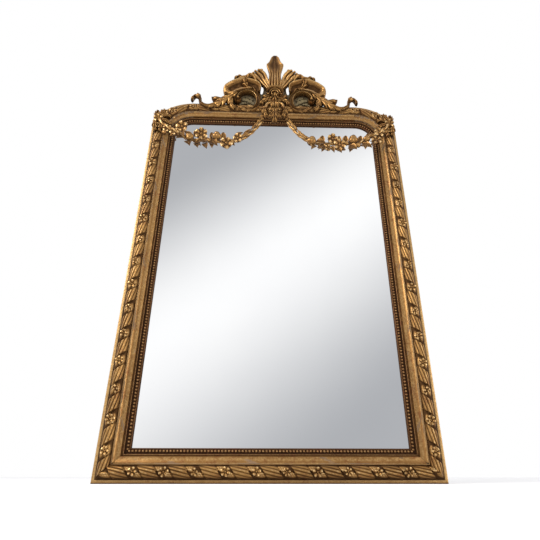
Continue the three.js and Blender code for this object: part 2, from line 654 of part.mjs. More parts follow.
// The stem hangs from beside the pendant, sags in front of the glass and climbs over the stile.
// A flower is [x, z, radius, turn], a leaf [x, z, tip x, tip z, half width] and a bud [x, z, radius].
function garland(side, flowers, leaves, buds) {
  const way = hung([[4.2, -6], [6.2, -11.2], [11, -16.6], [19.6, -20.6], [29, -20], [37.2, -19.6],
    [44, -16.6], [48.2, -12.2]])
  const stem = drawn(way, { section: STEM, rings: 14, back: constant(GARLAND_BACK),
    width: through([0, 0.6], [0.3, 0.8], [0.45, 1.3], [0.8, 1.6], [1, 1.2]),
    height: through([0, 0.53], [0.6, 0.6], [0.8, 1.13], [1, 1.13]) })
  const climb = through([33, 0], [41, 0.6])
  const above = (x) => GARLAND_BACK + climb(x) * CREST_THICKNESS
  const front = GARLAND_RISE
  const piece = join(
    stem,
    ...flowers.map(([x, z, radius, turn]) => {
      const [[px, pz]] = hung([[x, z]])
      return flower(px, pz, radius * SQUARE, above(x) + front * 0.2, above(x) + front, { turn })
    }),
    ...leaves.map(([x, z, toX, toZ, half]) => drawn(hung([[x, z], [(x + toX) / 2 + 0.2, (z + toZ) / 2 + 0.2],
      [toX, toZ]]), { width: leafWidth(half, 2), section: BLADE, rings: 4, back: () => above(x) + front * 0.1,
      height: through([0, 0.33], [0.5, 0.5], [1, 0.27]) })),
    ...buds.map(([x, z, radius]) => {
      const [[px, pz]] = hung([[x, z]])
      const ball = new THREE.SphereGeometry(radius * SQUARE, 6, 4)
      ball.translate(px, -above(x) - front / 2, pz)
      return fromGeometry(ball)
    }),
  )
  return side < 0 ? mirrored(piece) : piece
}

// The spray of leaves on the angled corner, where the garland is tied. Its points count squares from
// the tie.
function spray(grow = 0) {
  const height = through([0, 0.93], [0.5, 0.9], [1, 0.73])
  const fromTie = (points) => points.map(([x, z]) => [SPRAY_X + x * SQUARE, SPRAY_Z + z * SQUARE])
  const leaf = (points, half) => drawn(fromTie(points), {
    width: leafWidth(half, 3), section: BLADE, rings: 4, height, grow })
  const back = CREST_SEAT + CREST_THICKNESS / 2
  return join(
    leaf([[0.4, 0], [1.4, 1.2], [2.5, 2.4]], 1),
    leaf([[0.2, 0.2], [-1, 2.8], [-2.6, 5]], 1.4),
    leaf([[0.2, -0.2], [1.2, -3], [0.6, -6]], 1.4),
    leaf([[0, 0.2], [-2.4, 1.2], [-5, 2]], 1.3),
    flower(SPRAY_X, SPRAY_Z, FLOWER_RADIUS, back, CREST_FRONT + GAP, { turn: 0.3 }),
  )
}

// ---------------------------------------------------------------- glass, back and fixings
// The outline of what fits inside the rails: it stands on the bottom rail, with a clearance beside
// and above it.
function rebateShape(left, right) {
  const radius = SIGHT_RADIUS + LIP_WIDTH - GLASS_CLEARANCE
  const shape = new THREE.Shape()
  const low = LEDGE_END + GAP
  const high = CORNER_Z + radius
  shape.moveTo(left, low)
  shape.lineTo(right, low)
  if (right > CORNER_X) {
    shape.lineTo(right, CORNER_Z)
    shape.absarc(CORNER_X, CORNER_Z, radius, 0, Math.PI / 2)
  } else {
    shape.lineTo(right, high)
  }
  if (left < -CORNER_X) {
    shape.absarc(-CORNER_X, CORNER_Z, radius, Math.PI / 2, Math.PI)
  } else {
    shape.lineTo(left, high)
  }
  return shape
}

const REBATE_HALF = HALF_WIDTH - LEDGE_END - GLASS_CLEARANCE

function glass() {
  return panel(rebateShape(-REBATE_HALF, REBATE_HALF), GLASS_BACK, LEDGE_DEPTH)
}

function backboard(index) {
  const width = 2 * REBATE_HALF / BOARD_COUNT
  const left = -REBATE_HALF + index * width
  const last = index === BOARD_COUNT - 1
  const right = left + width - (last ? 0 : GAP)
  return panel(rebateShape(left, right), BOARD_BACK, BOARD_BACK + BOARD_THICKNESS)
}

const BATTEN_HALF = HALF_WIDTH - LEDGE_END + BATTEN_LAP
const battens = {
  upper_batten: BODY_HEIGHT - UPPER_BATTEN_DROP,
  lower_batten: LOWER_BATTEN_RISE,
}

function batten(z, grow = 0) {
  const back = grow ? -1 : RECESS
  return box(-BATTEN_HALF - grow, BATTEN_HALF + grow, back, BATTEN_FRONT + grow,
    z - BATTEN_WIDTH / 2 - grow, z + BATTEN_WIDTH / 2 + grow)
}

// A round-headed screw driven forwards from the given depth, and the hole that clears it.
function screw(x, z, depth, length) {
  const head = depth - GAP / 2
  const outline = [
    [0, depth + length], [SCREW_SHANK, depth + length], [SCREW_SHANK, head],
    [SCREW_HEAD, head], [SCREW_HEAD, head - SCREW_HEAD_HEIGHT / 2], [0, head - SCREW_HEAD_HEIGHT],
  ]
  const line = outline.map(([radius, along]) => new THREE.Vector2(radius, -along))
  const geometry = new THREE.LatheGeometry(line, 8)
  geometry.translate(x, 0, z)
  return fromGeometry(geometry)
}
const screwHole = (x, z, depth, length) => disc(x, z, SCREW_SHANK + GAP, depth - 1, depth + length + GAP, 8)

// The board that stands on the top rail and carries the crest, with a slot beside each petal.
function crestBoard() {
  const shape = new THREE.Shape()
  const right = crest([[19.8, 4.4], [16.2, 10], [12.6, 11.6], [11.4, 13.6], [9.4, 12.4], [7.6, 15.4],
    [5.2, 14.8], [2.8, 13], [2.4, 20], [0, 21.4]])
  const left = right.slice(0, -1).reverse().map(([x, z]) => [-x, z])
  shape.moveTo(-CREST_BOARD_HALF, BODY_HEIGHT + GAP)
  shape.lineTo(CREST_BOARD_HALF, BODY_HEIGHT + GAP)
  for (const [x, z] of [...right, ...left]) shape.lineTo(x, z)
  const [across, tall] = [SLOT_WIDTH / 2, SLOT_HEIGHT / 2]
  for (const side of [-1, 1]) {
    const slot = new THREE.Path()
    slot.absellipse(side * SLOT_X, BODY_HEIGHT + SLOT_Z, across, tall, 0, 2 * Math.PI, side > 0)
    shape.holes.push(slot)
  }
  return panel(shape, FILLET_DEPTH - CREST_BOARD_THICKNESS, FILLET_DEPTH, 8)
}

const POST_FRONT = FILLET_DEPTH - CREST_BOARD_THICKNESS - GAP

function crestPost(grow = 0) {
  const back = grow ? -1 : POST_FRONT - POST_THICKNESS
  return box(POST_X - POST_WIDTH / 2 - grow, POST_X + POST_WIDTH / 2 + grow, back, POST_FRONT + grow,
    BODY_HEIGHT - POST_DROP - grow, BODY_HEIGHT + (grow ? 1 : POST_HEIGHT))
}

// A steel strap rolled into an eye at its lower end, screwed to the upper batten.
const EYE_OUTER = WIRE_RADIUS + EYE_CLEARANCE + EYE_WALL
const EYE_DEPTH = RECESS - GAP - EYE_OUTER
const HANGER_Z = battens.upper_batten - STRAP_LENGTH / 4

function hangerStrap() {
  const outline = new THREE.Shape()
  const base = EYE_OUTER
  outline.absarc(0, 0, EYE_OUTER, Math.PI / 2, 2 * Math.PI)
  outline.lineTo(base, STRAP_LENGTH)
  outline.lineTo(base - EYE_WALL, STRAP_LENGTH)
  outline.lineTo(base - EYE_WALL, EYE_OUTER)
  const bore = new THREE.Path()
  bore.absarc(0, 0, WIRE_RADIUS + EYE_CLEARANCE, 0, 2 * Math.PI, true)
  outline.holes.push(bore)
  const options = { depth: STRAP_WIDTH, bevelEnabled: false, curveSegments: 12 }
  const geometry = new THREE.ExtrudeGeometry(outline, options)
  // The outline's first axis becomes the depth, its second the height, and the extrusion runs along x.
  geometry.applyMatrix4(new THREE.Matrix4().set(
    0, 0, -1, HANGER_X + STRAP_WIDTH / 2,
    -1, 0, 0, -EYE_DEPTH,
    0, 1, 0, HANGER_Z,
    0, 0, 0, 1,
  ))
  return fromGeometry(geometry)
}

// The hanging ring: a straight bar through the eye, closed by a round bow below it.
function hangerRing() {
  const half = RING_WIDTH / 2
  const side = RING_DROP - half
  const way = [
    ...steps(2, (t) => [-half * 0.8 + t * half * 1.6, 0]),
    ...steps(2, (t) => [half, -side * (0.35 + 0.65 * t)]),
    ...steps(6, (t) => [half * Math.cos(t * Math.PI), -side - half * Math.sin(t * Math.PI)]).slice(1, -1),
    ...steps(2, (t) => [-half, -side * (1 - 0.65 * t)]),
  ]
  const rings = way.map(([x, z], i) => {
    const before = way[(i + way.length - 1) % way.length]
    const after = way[(i + 1) % way.length]
    const along = new THREE.Vector2(after[0] - before[0], after[1] - before[1]).normalize()
    return steps(5, (t) => t).map((_, k) => {
      const turn = k * Math.PI / 3
      const reach = WIRE_RADIUS * Math.cos(turn)
      const depth = EYE_DEPTH + WIRE_RADIUS * Math.sin(turn)
      return [HANGER_X + x - along.y * reach, depth, HANGER_Z + z + along.x * reach]
    })
  })
  return loft(rings, null, true)
}

// ---------------------------------------------------------------- assembly
const pieces = []
const add = (name, finish, piece) => pieces.push({ name, finish, piece })
const addPair = (name, finish, piece) => {
  add(`left_${name}`, finish, mirrored(piece))
  add(`right_${name}`, finish, piece)
}

const strapScrewZ = HANGER_Z + STRAP_LENGTH * 0.7
const strapBack = RECESS - GAP - EYE_WALL
const postBack = POST_FRONT - POST_THICKNESS
const postScrews = [
  { z: BODY_HEIGHT - POST_DROP / 2, name: 'rail_screw' },
  { z: BODY_HEIGHT + POST_HEIGHT / 2, name: 'board_screw' },
]
const postScrewLength = POST_THICKNESS + GAP + 12
const battenScrewX = HALF_WIDTH - LEDGE_END + BATTEN_LAP / 2
const battenScrewLength = BATTEN_THICKNESS + GAP + 16
const sides = [-1, 1]

// Frame: carcass, torus and sight slip of each run
const housings = Object.values(battens).map((z) => batten(z, GAP))
const battenHoles = Object.values(battens).map((z) => screwHole(-battenScrewX, z, RECESS, battenScrewLength))
const leftStile = cut(stile(railSection()), ...housings, ...battenHoles)
add('left_stile', 'gilt', leftStile)
add('right_stile', 'gilt', mirrored(leftStile))
add('bottom_rail', 'gilt', bottom(railSection()))
const postPockets = [crestPost(GAP), mirrored(crestPost(GAP))]
const railHoles = sides.map((side) => screwHole(side * POST_X, postScrews[0].z, postBack, postScrewLength))
add('top_rail', 'gilt', cut(top(railSection()), ...postPockets, ...railHoles))
const leftShoulder = shoulder(railSection())
add('left_shoulder', 'gilt', leftShoulder)
add('right_shoulder', 'gilt', mirrored(leftShoulder))

const leftTorus = stileTorus()
add('left_torus', 'gilt', leftTorus)
add('right_torus', 'gilt', mirrored(leftTorus))
add('bottom_torus', 'gilt', bottomTorus())
add('top_torus', 'gilt', topTorus())
const leftShoulderTorus = shoulderTorus()
add('left_shoulder_torus', 'gilt', leftShoulderTorus)
add('right_shoulder_torus', 'gilt', mirrored(leftShoulderTorus))

const leftSlip = stile(slipSection())
add('left_pearl_slip', 'gilt_shaded', leftSlip)
add('right_pearl_slip', 'gilt_shaded', mirrored(leftSlip))
add('bottom_pearl_slip', 'gilt_shaded', bottom(slipSection()))
add('top_pearl_slip', 'gilt_shaded', top(slipSection()))
const leftShoulderSlip = shoulder(slipSection())
add('left_shoulder_slip', 'gilt_shaded', leftShoulderSlip)
add('right_shoulder_slip', 'gilt_shaded', mirrored(leftShoulderSlip))

// Glass and back
add('mirror_glass', 'silvered', glass())
for (let i = 0; i < BOARD_COUNT; i++) add(`backboard_${i + 1}`, 'wood', backboard(i))
for (const [name, z] of Object.entries(battens)) {
  const holes = sides.map((side) => screwHole(side * battenScrewX, z, RECESS, battenScrewLength))
  const strapHoles = name === 'upper_batten'
    ? sides.map((side) => screwHole(side * HANGER_X, strapScrewZ, strapBack, BATTEN_THICKNESS))
    : []
  add(name, 'wood', cut(batten(z), ...holes, ...strapHoles))
  addPair(`${name}_screw`, 'steel', screw(battenScrewX, z, RECESS, battenScrewLength))
}

// Crest
const cover = [top(coverSection())]
const corner = [shoulder(coverSection()), shoulderTorus(GAP), stile(coverSection())]
const cornerCover = corner.map(mirrored)
const boardHoles = sides.map((side) => screwHole(side * POST_X, postScrews[1].z, postBack, postScrewLength))
add('crest_board', 'ochre', cut(crestBoard(), ...boardHoles))
const postHoles = postScrews.map(({ z }) => screwHole(POST_X, z, postBack, postScrewLength))
addPair('crest_post', 'wood', cut(crestPost(), ...postHoles))
for (const { z, name } of postScrews) addPair(name, 'steel', screw(POST_X, z, postBack, postScrewLength))

add('shell', 'gilt', largest(cut(shell(), ...cover)))
add('finial', 'gilt', largest(cut(finial(), shellCutter())))
const rightScroll = largest(cut(scroll(), shellCutter(), ...cover))
addPair('scroll', 'gilt', rightScroll)
const rightHood = largest(cut(hood(), scrollCutter(), shellCutter()))
addPair('hood', 'gilt', rightHood)
const rightPetal = largest(cut(petal(), shellCutter(), finial(GAP), hood(GAP)))
addPair('petal', 'gilt', rightPetal)
addPair('lobe_leaf', 'gilt', largest(cut(lobes(), hood(GAP), petal(GAP))))
addPair('branch', 'gilt', largest(cut(branch(), scrollCutter(), hood(GAP), ...cover, ...cornerCover)))
const scrollCutters = [scrollCutter(), mirrored(scrollCutter())]
add('pendant', 'gilt', largest(cut(pendant(), shellCutter(), spill(GAP), ...scrollCutters, ...cover)))

// Garlands and corner sprays
const garlandCover = [...cover, ...corner, ...cornerCover]
const sprayCutter = disc(SPRAY_X, SPRAY_Z, SPRAY_HEART, 0, CUTTER_DEPTH, 16)
addPair('corner_spray', 'gilt', largest(cut(spray(), ...cornerCover)))
const garlandCutters = [sprayCutter, mirrored(sprayCutter), spray(GAP), mirrored(spray(GAP)), pendant(GAP)]
const leftGarland = garland(-1,
  [[15.1, -17.6, 1.6, 0.2], [19.9, -22.2, 1.8, 0.8], [30, -16.6, 1.8, 0.5], [36.2, -15, 2, 0.1],
    [40.4, -18.4, 1.7, 0.9]],
  [[34, -19.6, 34.2, -23.4, 1.2], [26.8, -18.8, 22.6, -22, 1.4], [32.2, -20, 29.2, -21.4, 1],
    [23.6, -20.4, 23.6, -16, 1.3], [38.4, -20, 37.6, -22.2, 1], [42, -17.8, 44.6, -19, 1.1]],
  [[17.6, -19.6, 1.1], [25.2, -19.6, 1.2], [27.8, -20.6, 1.1], [33, -18, 1.4], [43.6, -15.6, 1.2]])
const rightGarland = garland(1,
  [[15.4, -19, 1.8, 0.4], [19, -21, 1.7, 0], [26, -21.6, 1.9, 0.7], [36.8, -21.4, 1.6, 0.3],
    [40, -18, 1.6, 0.6]],
  [[23.8, -19.6, 24, -14.4, 1.5], [32.2, -20, 32.2, -15.2, 1.4], [31.8, -20, 29.6, -23, 1.1],
    [22.6, -21.2, 21.2, -23.4, 1.1], [34.6, -20.4, 35, -23.2, 1.2], [41.6, -17.6, 44.4, -18.4, 1.1]],
  [[12.8, -17.2, 1.1], [21.6, -19.8, 1.3], [28.4, -20, 1.2], [34.4, -19, 1.2], [37.4, -17.8, 1.4],
    [43.2, -15.8, 1.2]])
add('left_garland', 'gilt', largest(cut(leftGarland, ...garlandCutters, ...garlandCover)))
add('right_garland', 'gilt', largest(cut(rightGarland, ...garlandCutters, ...garlandCover)))

// ---------------------------------------------------------------- the group
function toMesh({ name, finish, piece }) {
  const { vertProperties, triVerts } = piece.getMesh()
  const geometry = new THREE.BufferGeometry()
  geometry.setAttribute('position', new THREE.BufferAttribute(new Float32Array(vertProperties), 3))
  geometry.setIndex(new THREE.BufferAttribute(new Uint32Array(triVerts), 1))
  geometry.computeVertexNormals()
  const mesh = new THREE.Mesh(geometry, new THREE.MeshStandardMaterial(FINISH[finish]))
  mesh.name = name
  return mesh
}

const strapHole = screwHole(HANGER_X, strapScrewZ, strapBack, EYE_WALL + GAP)
addPair('hanger_strap', 'steel', cut(hangerStrap(), strapHole))
addPair('hanger_ring', 'steel', hangerRing())
addPair('hanger_screw', 'steel', screw(HANGER_X, strapScrewZ, strapBack, BATTEN_THICKNESS - 1))

const group = new THREE.Group()
group.add(...pieces.map(toMesh))
const extent = new THREE.Box3().setFromObject(group)
group.position.y = -(extent.min.y + extent.max.y) / 2
export default group
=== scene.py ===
# %% [markdown]
# # A gilded mirror with a carved crest
# The object is a tall mirror in a carved and gilded frame. Its rails, glass, boards, screws and
# hanging rings come from the CAD frame. Everything that a carver and a gilder add is made here:
# the gesso of the moulding, the ribbon and flower torus, the pearls, the crest and the garlands.
# Such work could be modelled by hand, leaf by leaf. Here each surface is a formula worked out on a
# whole grid of points at once, so that a width or a depth is changed in one place.

# %% Load the frame
import bpy
import numpy as np
from mathutils import Matrix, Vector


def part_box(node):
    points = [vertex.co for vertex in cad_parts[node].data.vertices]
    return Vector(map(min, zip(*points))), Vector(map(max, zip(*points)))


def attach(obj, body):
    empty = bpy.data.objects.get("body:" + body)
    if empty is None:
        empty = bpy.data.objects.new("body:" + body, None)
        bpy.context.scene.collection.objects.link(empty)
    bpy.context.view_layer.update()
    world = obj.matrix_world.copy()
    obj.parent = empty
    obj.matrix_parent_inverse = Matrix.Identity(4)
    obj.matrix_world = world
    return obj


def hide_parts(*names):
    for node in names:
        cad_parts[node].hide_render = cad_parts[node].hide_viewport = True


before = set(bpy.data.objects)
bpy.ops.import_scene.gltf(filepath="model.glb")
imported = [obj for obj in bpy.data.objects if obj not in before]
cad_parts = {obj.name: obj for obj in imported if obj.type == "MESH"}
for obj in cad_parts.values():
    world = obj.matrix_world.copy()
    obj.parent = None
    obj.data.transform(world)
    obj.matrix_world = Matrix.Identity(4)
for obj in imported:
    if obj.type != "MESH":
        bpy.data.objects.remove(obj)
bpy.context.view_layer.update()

# %% [markdown]
# ## Millimetres and depths
# A carver measures from the wall forwards and from the bottom edge up, so the formulas do too:
# a point is x, depth, z in millimetres. The main sizes are read from the frame's own parts rather
# than written down again, so the carving always fits them. One helper turns such arrays into the
# frame's metres.

# %% Sizes that come from the frame
MM = 0.001
GAP = 0.3  # the play between two parts that meet
rail_corner = np.array(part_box("bottom_rail")[1]) / MM
HALF_WIDTH = rail_corner[0]
WALL = rail_corner[1]
BODY_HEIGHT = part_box("top_rail")[1].z / MM
CORNER_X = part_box("top_rail")[1].x / MM + GAP
CORNER_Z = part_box("left_stile")[1].z / MM + GAP
GLASS_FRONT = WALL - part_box("mirror_glass")[0].y / MM
FILLET_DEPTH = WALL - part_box("crest_board")[0].y / MM


def to_metres(x, depth, z):
    """The frame's metres for arrays of x, depth from the wall and height, all in millimetres."""
    return np.stack(np.broadcast_arrays(x, WALL - depth, z), axis=-1) * MM


print(f"half width {HALF_WIDTH:.0f}, body height {BODY_HEIGHT:.0f}, fillet {FILLET_DEPTH:.1f} mm deep")

# %% [markdown]
# ## The camera
# The photograph was taken close to the mirror from just above the floor, looking up, so the sides
# lean together. A wide lens with a small shift gives the same view. The numbers were worked out
# from the four corners of the frame, which is surer than turning a camera by eye.

# %% Camera
LENS, SENSOR = 28.42, 36  # millimetres
SHIFT = (-0.0188, 0.0016)
NEAREST = 0.01            # metres, where the view starts
CAMERA_DISTANCE = 1327.4  # millimetres in front of the moulding's outer band
CAMERA_HEIGHT = 19.9
CAMERA_X = -16.1
LOOK_UP, LOOK_ASIDE, ROLL = 0.4488, 0.027, 0.0135  # radians


def camera_turn(up, aside, roll):
    """The camera's right, up and backward directions: a level look at the mirror, turned up, then
    aside, then rolled, which is the product of the matrices tilt, yaw, nod and level."""
    cx, sx, cy, sy, cz, sz = (f(a) for a in (-up, -aside, roll) for f in (np.cos, np.sin))
    nod = np.array([[1, 0, 0], [0, cx, -sx], [0, sx, cx]])
    yaw = np.array([[cy, 0, sy], [0, 1, 0], [-sy, 0, cy]])
    tilt = np.array([[cz, -sz, 0], [sz, cz, 0], [0, 0, 1]])
    level = np.array([[1, 0, 0], [0, 0, -1], [0, 1, 0]])
    right, down, ahead = tilt @ yaw @ nod @ level
    return np.array([right, -down, -ahead])


camera_data = bpy.data.cameras.new("camera")
camera_data.lens, camera_data.sensor_width = LENS, SENSOR
camera_data.shift_x, camera_data.shift_y = SHIFT
camera_data.clip_start = NEAREST
camera = bpy.data.objects.new("camera", camera_data)
bpy.context.scene.collection.objects.link(camera)
stand = np.eye(4)
stand[:3, :3] = camera_turn(LOOK_UP, LOOK_ASIDE, ROLL).T
stand[:3, 3] = to_metres(CAMERA_X, FILLET_DEPTH + CAMERA_DISTANCE, CAMERA_HEIGHT)
camera.matrix_world = Matrix(stand.tolist())
bpy.context.scene.camera = camera
bpy.context.scene.view_settings.view_transform = "Standard"
print("camera at", [round(v, 3) for v in camera.location])

# %% [markdown]
# ## Surfaces from arrays
# A carver's pieces have no square edges, and almost all of them can be one kind of surface: rings
# of points, each ring a closed outline, joined one after another and closed by a fan at each end.
# A second value rides along with every point: its relief, 1 on a crest and 0 in a hollow, which
# later tells the gilding where it is rubbed bright with a painted highlight and where it is
# darkened by dirt and painted shade. Sculpting would need each piece painted as well; here shape,
# wear and painted light come from one formula.

# %% Rings of points made into a closed shell
END_RELIEF = 0.3


def rings_shell(points, relief):
    """Faces of rings (n, m, 3) of closed outlines. Ring i's point j joins ring i+1's, and the ends
    are fans about their middles."""
    rings, around = points.shape[:2]
    middles = np.stack([points[0].mean(0), points[-1].mean(0)])
    ring, spot = np.meshgrid(np.arange(rings - 1) * around, np.arange(around), indexing="ij")
    beside = (spot + 1) % around
    above = ring + around
    quads = np.stack([ring + spot, ring + beside, above + beside, above + spot], -1).reshape(-1, 4)
    edge = np.arange(around)
    onward = (edge + 1) % around
    first, last = rings * around, rings * around + 1
    last_ring = (rings - 1) * around
    fans = np.concatenate([
        np.stack([np.full(around, first), onward, edge], -1),
        np.stack([np.full(around, last), last_ring + edge, last_ring + onward], -1),
    ])
    values = np.broadcast_to(relief, (rings, around)).ravel()
    points = np.concatenate([points.reshape(-1, 3), middles])
    return points, quads, fans, np.r_[values, END_RELIEF, END_RELIEF]


sample = rings_shell(np.zeros((3, 4, 3)), 0.0)
print("3 rings of 4 points give", len(sample[1]), "quads and", len(sample[2]), "triangles")

# %% [markdown]
# ### Turning, mirroring and finishing a shell
# A shell's formula doesn't say which side of it is out, so its volume tells: where it is negative,
# every face is turned round. The frame is almost symmetrical, so most carving is written for one
# side and mirrored. A finished piece is shaded smooth, but for its sharp edges, and rides on the
# frame.

# %% Turning and mirroring


def outward(shell):
    """Turns the faces round where the volume is negative: the sum over all triangles of corner a
    times (corner b cross corner c), over 6."""
    points, quads, fans, relief = shell
    tris = np.concatenate([quads[:, [0, 1, 2]], quads[:, [0, 2, 3]], fans])
    a, b, c = (points[tris[:, i]] for i in range(3))
    if np.einsum("ij,ij->", a, np.cross(b, c)) < 0:
        quads, fans = quads[:, ::-1], fans[:, ::-1]
    return points, quads, fans, relief


def mirror_shell(shell):
    """The same shell on the other side of the mirror's middle: x changes sign."""
    points, quads, fans, relief = shell
    return points * [-1, 1, 1], quads, fans, relief


def both_sides(shells):
    """The shells as they are, and all of them mirrored."""
    return shells, [mirror_shell(shell) for shell in shells]


print("a mirrored shell has", len(mirror_shell(sample)[0]), "points, as before")

# %% A finished piece
SHARP_EDGE = 50  # degrees


def new_piece(name, shells, material, body="frame", replaces=()):
    """One object from closed shells, smooth but for its sharp edges."""
    shells = [outward(shell) for shell in shells]
    starts = np.cumsum([0] + [len(shell[0]) for shell in shells[:-1]])
    faces = [(part + start).tolist() for shell, start in zip(shells, starts) for part in shell[1:3]]
    mesh = bpy.data.meshes.new(name)
    mesh.from_pydata(np.concatenate([shell[0] for shell in shells]), [], sum(faces, []))
    layer = mesh.attributes.new("relief", "FLOAT", "POINT")
    layer.data.foreach_set("value", np.concatenate([shell[3] for shell in shells]).astype(np.float32))
    mesh.shade_smooth()
    mesh.set_sharp_from_angle(angle=np.radians(SHARP_EDGE))
    mesh.materials.append(material)
    piece = bpy.data.objects.new(name, mesh)
    bpy.context.scene.collection.objects.link(piece)
    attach(piece, body)
    for node in replaces:
        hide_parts(node)
    print(f"{name}: {len(mesh.vertices)} points, {len(mesh.polygons)} faces")
    return piece


print("edges sharper than", SHARP_EDGE, "degrees stay sharp")

# %% [markdown]
# ## Materials out of nodes
# A material could be built by hand in the shader editor. In code the same few nodes come back
# again and again: noise, mixes, sums and soft steps. So a small helper adds one node a line, and
# the formulas of the finishes can be read.

# %% Node helpers


class Nodes:
    """Short ways to add and join nodes in one tree."""

    def __init__(self, tree):
        """Keeps the tree that the nodes go into."""
        self.tree = tree

    def add(self, kind, settings=None, **inputs):
        """One node. An input is given by its name, or by its place as i0, i1 and so on, and is
        joined to a socket or set to a value."""
        node = self.tree.nodes.new(kind)
        for key, value in (settings or {}).items():
            setattr(node, key, value)
        for key, value in inputs.items():
            socket = node.inputs[int(key[1:]) if key[0] == "i" and key[1:].isdigit() else key]
            if isinstance(value, bpy.types.NodeSocket):
                self.tree.links.new(value, socket)
            else:
                socket.default_value = value
        return node

    def math(self, operation, a, b=0.0, clamp=False):
        """a and b under one operation, such as ADD."""
        settings = {"operation": operation, "use_clamp": clamp}
        return self.add("ShaderNodeMath", settings, i0=a, i1=b).outputs[0]

    def line(self, value, gain, start):
        """start + gain * value."""
        return self.math("ADD", self.math("MULTIPLY", value, gain), start)

    def weighed(self, a, weight_a, b, weight_b):
        """weight_a * a + weight_b * b."""
        return self.math("ADD", self.math("MULTIPLY", a, weight_a), self.math("MULTIPLY", b, weight_b))

    def stray(self, value, amount):
        """amount * (value - 0.5): how far a noise strays to either side of its middle."""
        return self.math("MULTIPLY", self.math("SUBTRACT", value, 0.5), amount)

    def mix(self, factor, a, b):
        """Colour a where factor is 0, b where it is 1."""
        kind = {"data_type": "RGBA", "blend_type": "MIX"}
        node = self.add("ShaderNodeMix", kind, i0=factor, i6=a, i7=b)
        return node.outputs[2]

    def noise(self, vector, scale, detail=4.0, roughness=0.55, distortion=0.0):
        """A noise whose patches are about 1 / scale of a metre across."""
        node = self.add("ShaderNodeTexNoise", None, Vector=vector, Scale=scale, Detail=detail,
                        Roughness=roughness, Distortion=distortion)
        return node.outputs["Fac"]

    def ramp(self, value, low, high):
        """0 at low and 1 at high, with a soft step between them."""
        node = self.add("ShaderNodeMapRange", {"interpolation_type": "SMOOTHSTEP"}, Value=value,
                        **{"From Min": low, "From Max": high})
        return node.outputs["Result"]

    def shelter(self, distance):
        """1 in the open and 0 where nearby surfaces close a point in."""
        return self.add("ShaderNodeAmbientOcclusion", {"samples": 6}, Distance=distance).outputs["AO"]

    def bump(self, height, distance, strength=1.0):
        """The normal of a surface raised by height times distance, in metres."""
        node = self.add("ShaderNodeBump", None, Height=height, Distance=distance, Strength=strength)
        return node.outputs["Normal"]

    def object_point(self, stretch=(1, 1, 1)):
        """The point on the piece, in metres, times stretch."""
        point = self.add("ShaderNodeTexCoord").outputs["Object"]
        return self.add("ShaderNodeMapping", None, Vector=point, Scale=stretch).outputs["Vector"]

    def join(self, shader, **outputs):
        """Joins outputs to the shader's sockets of the same names: base_color to Base Color."""
        for name, output in outputs.items():
            self.tree.links.new(output, shader.inputs[name.replace("_", " ").title()])


print("node helpers:", ", ".join(name for name in vars(Nodes) if name[0] != "_"))

# %% New groups and new materials
FLOAT, COLOUR, VECTOR = "NodeSocketFloat", "NodeSocketColor", "NodeSocketVector"


def new_group(name, inputs, outputs):
    """An empty shader group with named sockets; inputs are (name, kind, default)."""
    tree = bpy.data.node_groups.new(name, "ShaderNodeTree")
    for label, kind, default in inputs:
        socket = tree.interface.new_socket(label, in_out="INPUT", socket_type=kind)
        socket.default_value = default
    for label, kind in outputs:
        tree.interface.new_socket(label, in_out="OUTPUT", socket_type=kind)
    nodes = Nodes(tree)
    return tree, nodes, nodes.add("NodeGroupInput").outputs, nodes.add("NodeGroupOutput").inputs


def new_material(name, metallic, viewport):
    """A material with a Principled shader, and its node helper."""
    material = bpy.data.materials.new(name)
    material.use_nodes = True
    material.diffuse_color = (*viewport, 1)
    shader = material.node_tree.nodes["Principled BSDF"]
    shader.inputs["Metallic"].default_value = metallic
    return material, Nodes(material.node_tree), shader


print("a group's sockets can be", FLOAT, COLOUR, VECTOR)

# %% [markdown]
# ## The gilding
# Water gilding is gold leaf over red clay over white gesso. A century of dusting leaves the high
# places rubbed bright, the hollows full of brown dirt, and the clay showing red where the leaf has
# worn through on edges. The real finish is layers, so the material is layers too: a shader group
# lays leaf, clay, dirt and rubbed leaf over each other, and with them paints shade into sheltered
# hollows and a highlight onto open crests; a second one gives the height of the gesso, and the
# material itself keeps the Principled shader. One group serves three kinds of gilding, each with
# its own colours; the darkest, on the slip beside the glass, is painted shade.

# %% The gilder's layers
THIN_LEAF = (0.16, 0.07, 0.02, 1)   # where the leaf was laid thin
RED_CLAY = (0.17, 0.045, 0.018, 1)
# painted shade and dirt: the dark brown of low, sheltered places
SHADE_AND_DIRT = (0.04, 0.014, 0.003, 1)
NOOK = 0.015                        # metres: how near a neighbour has to be to darken a point with dirt and painted shade
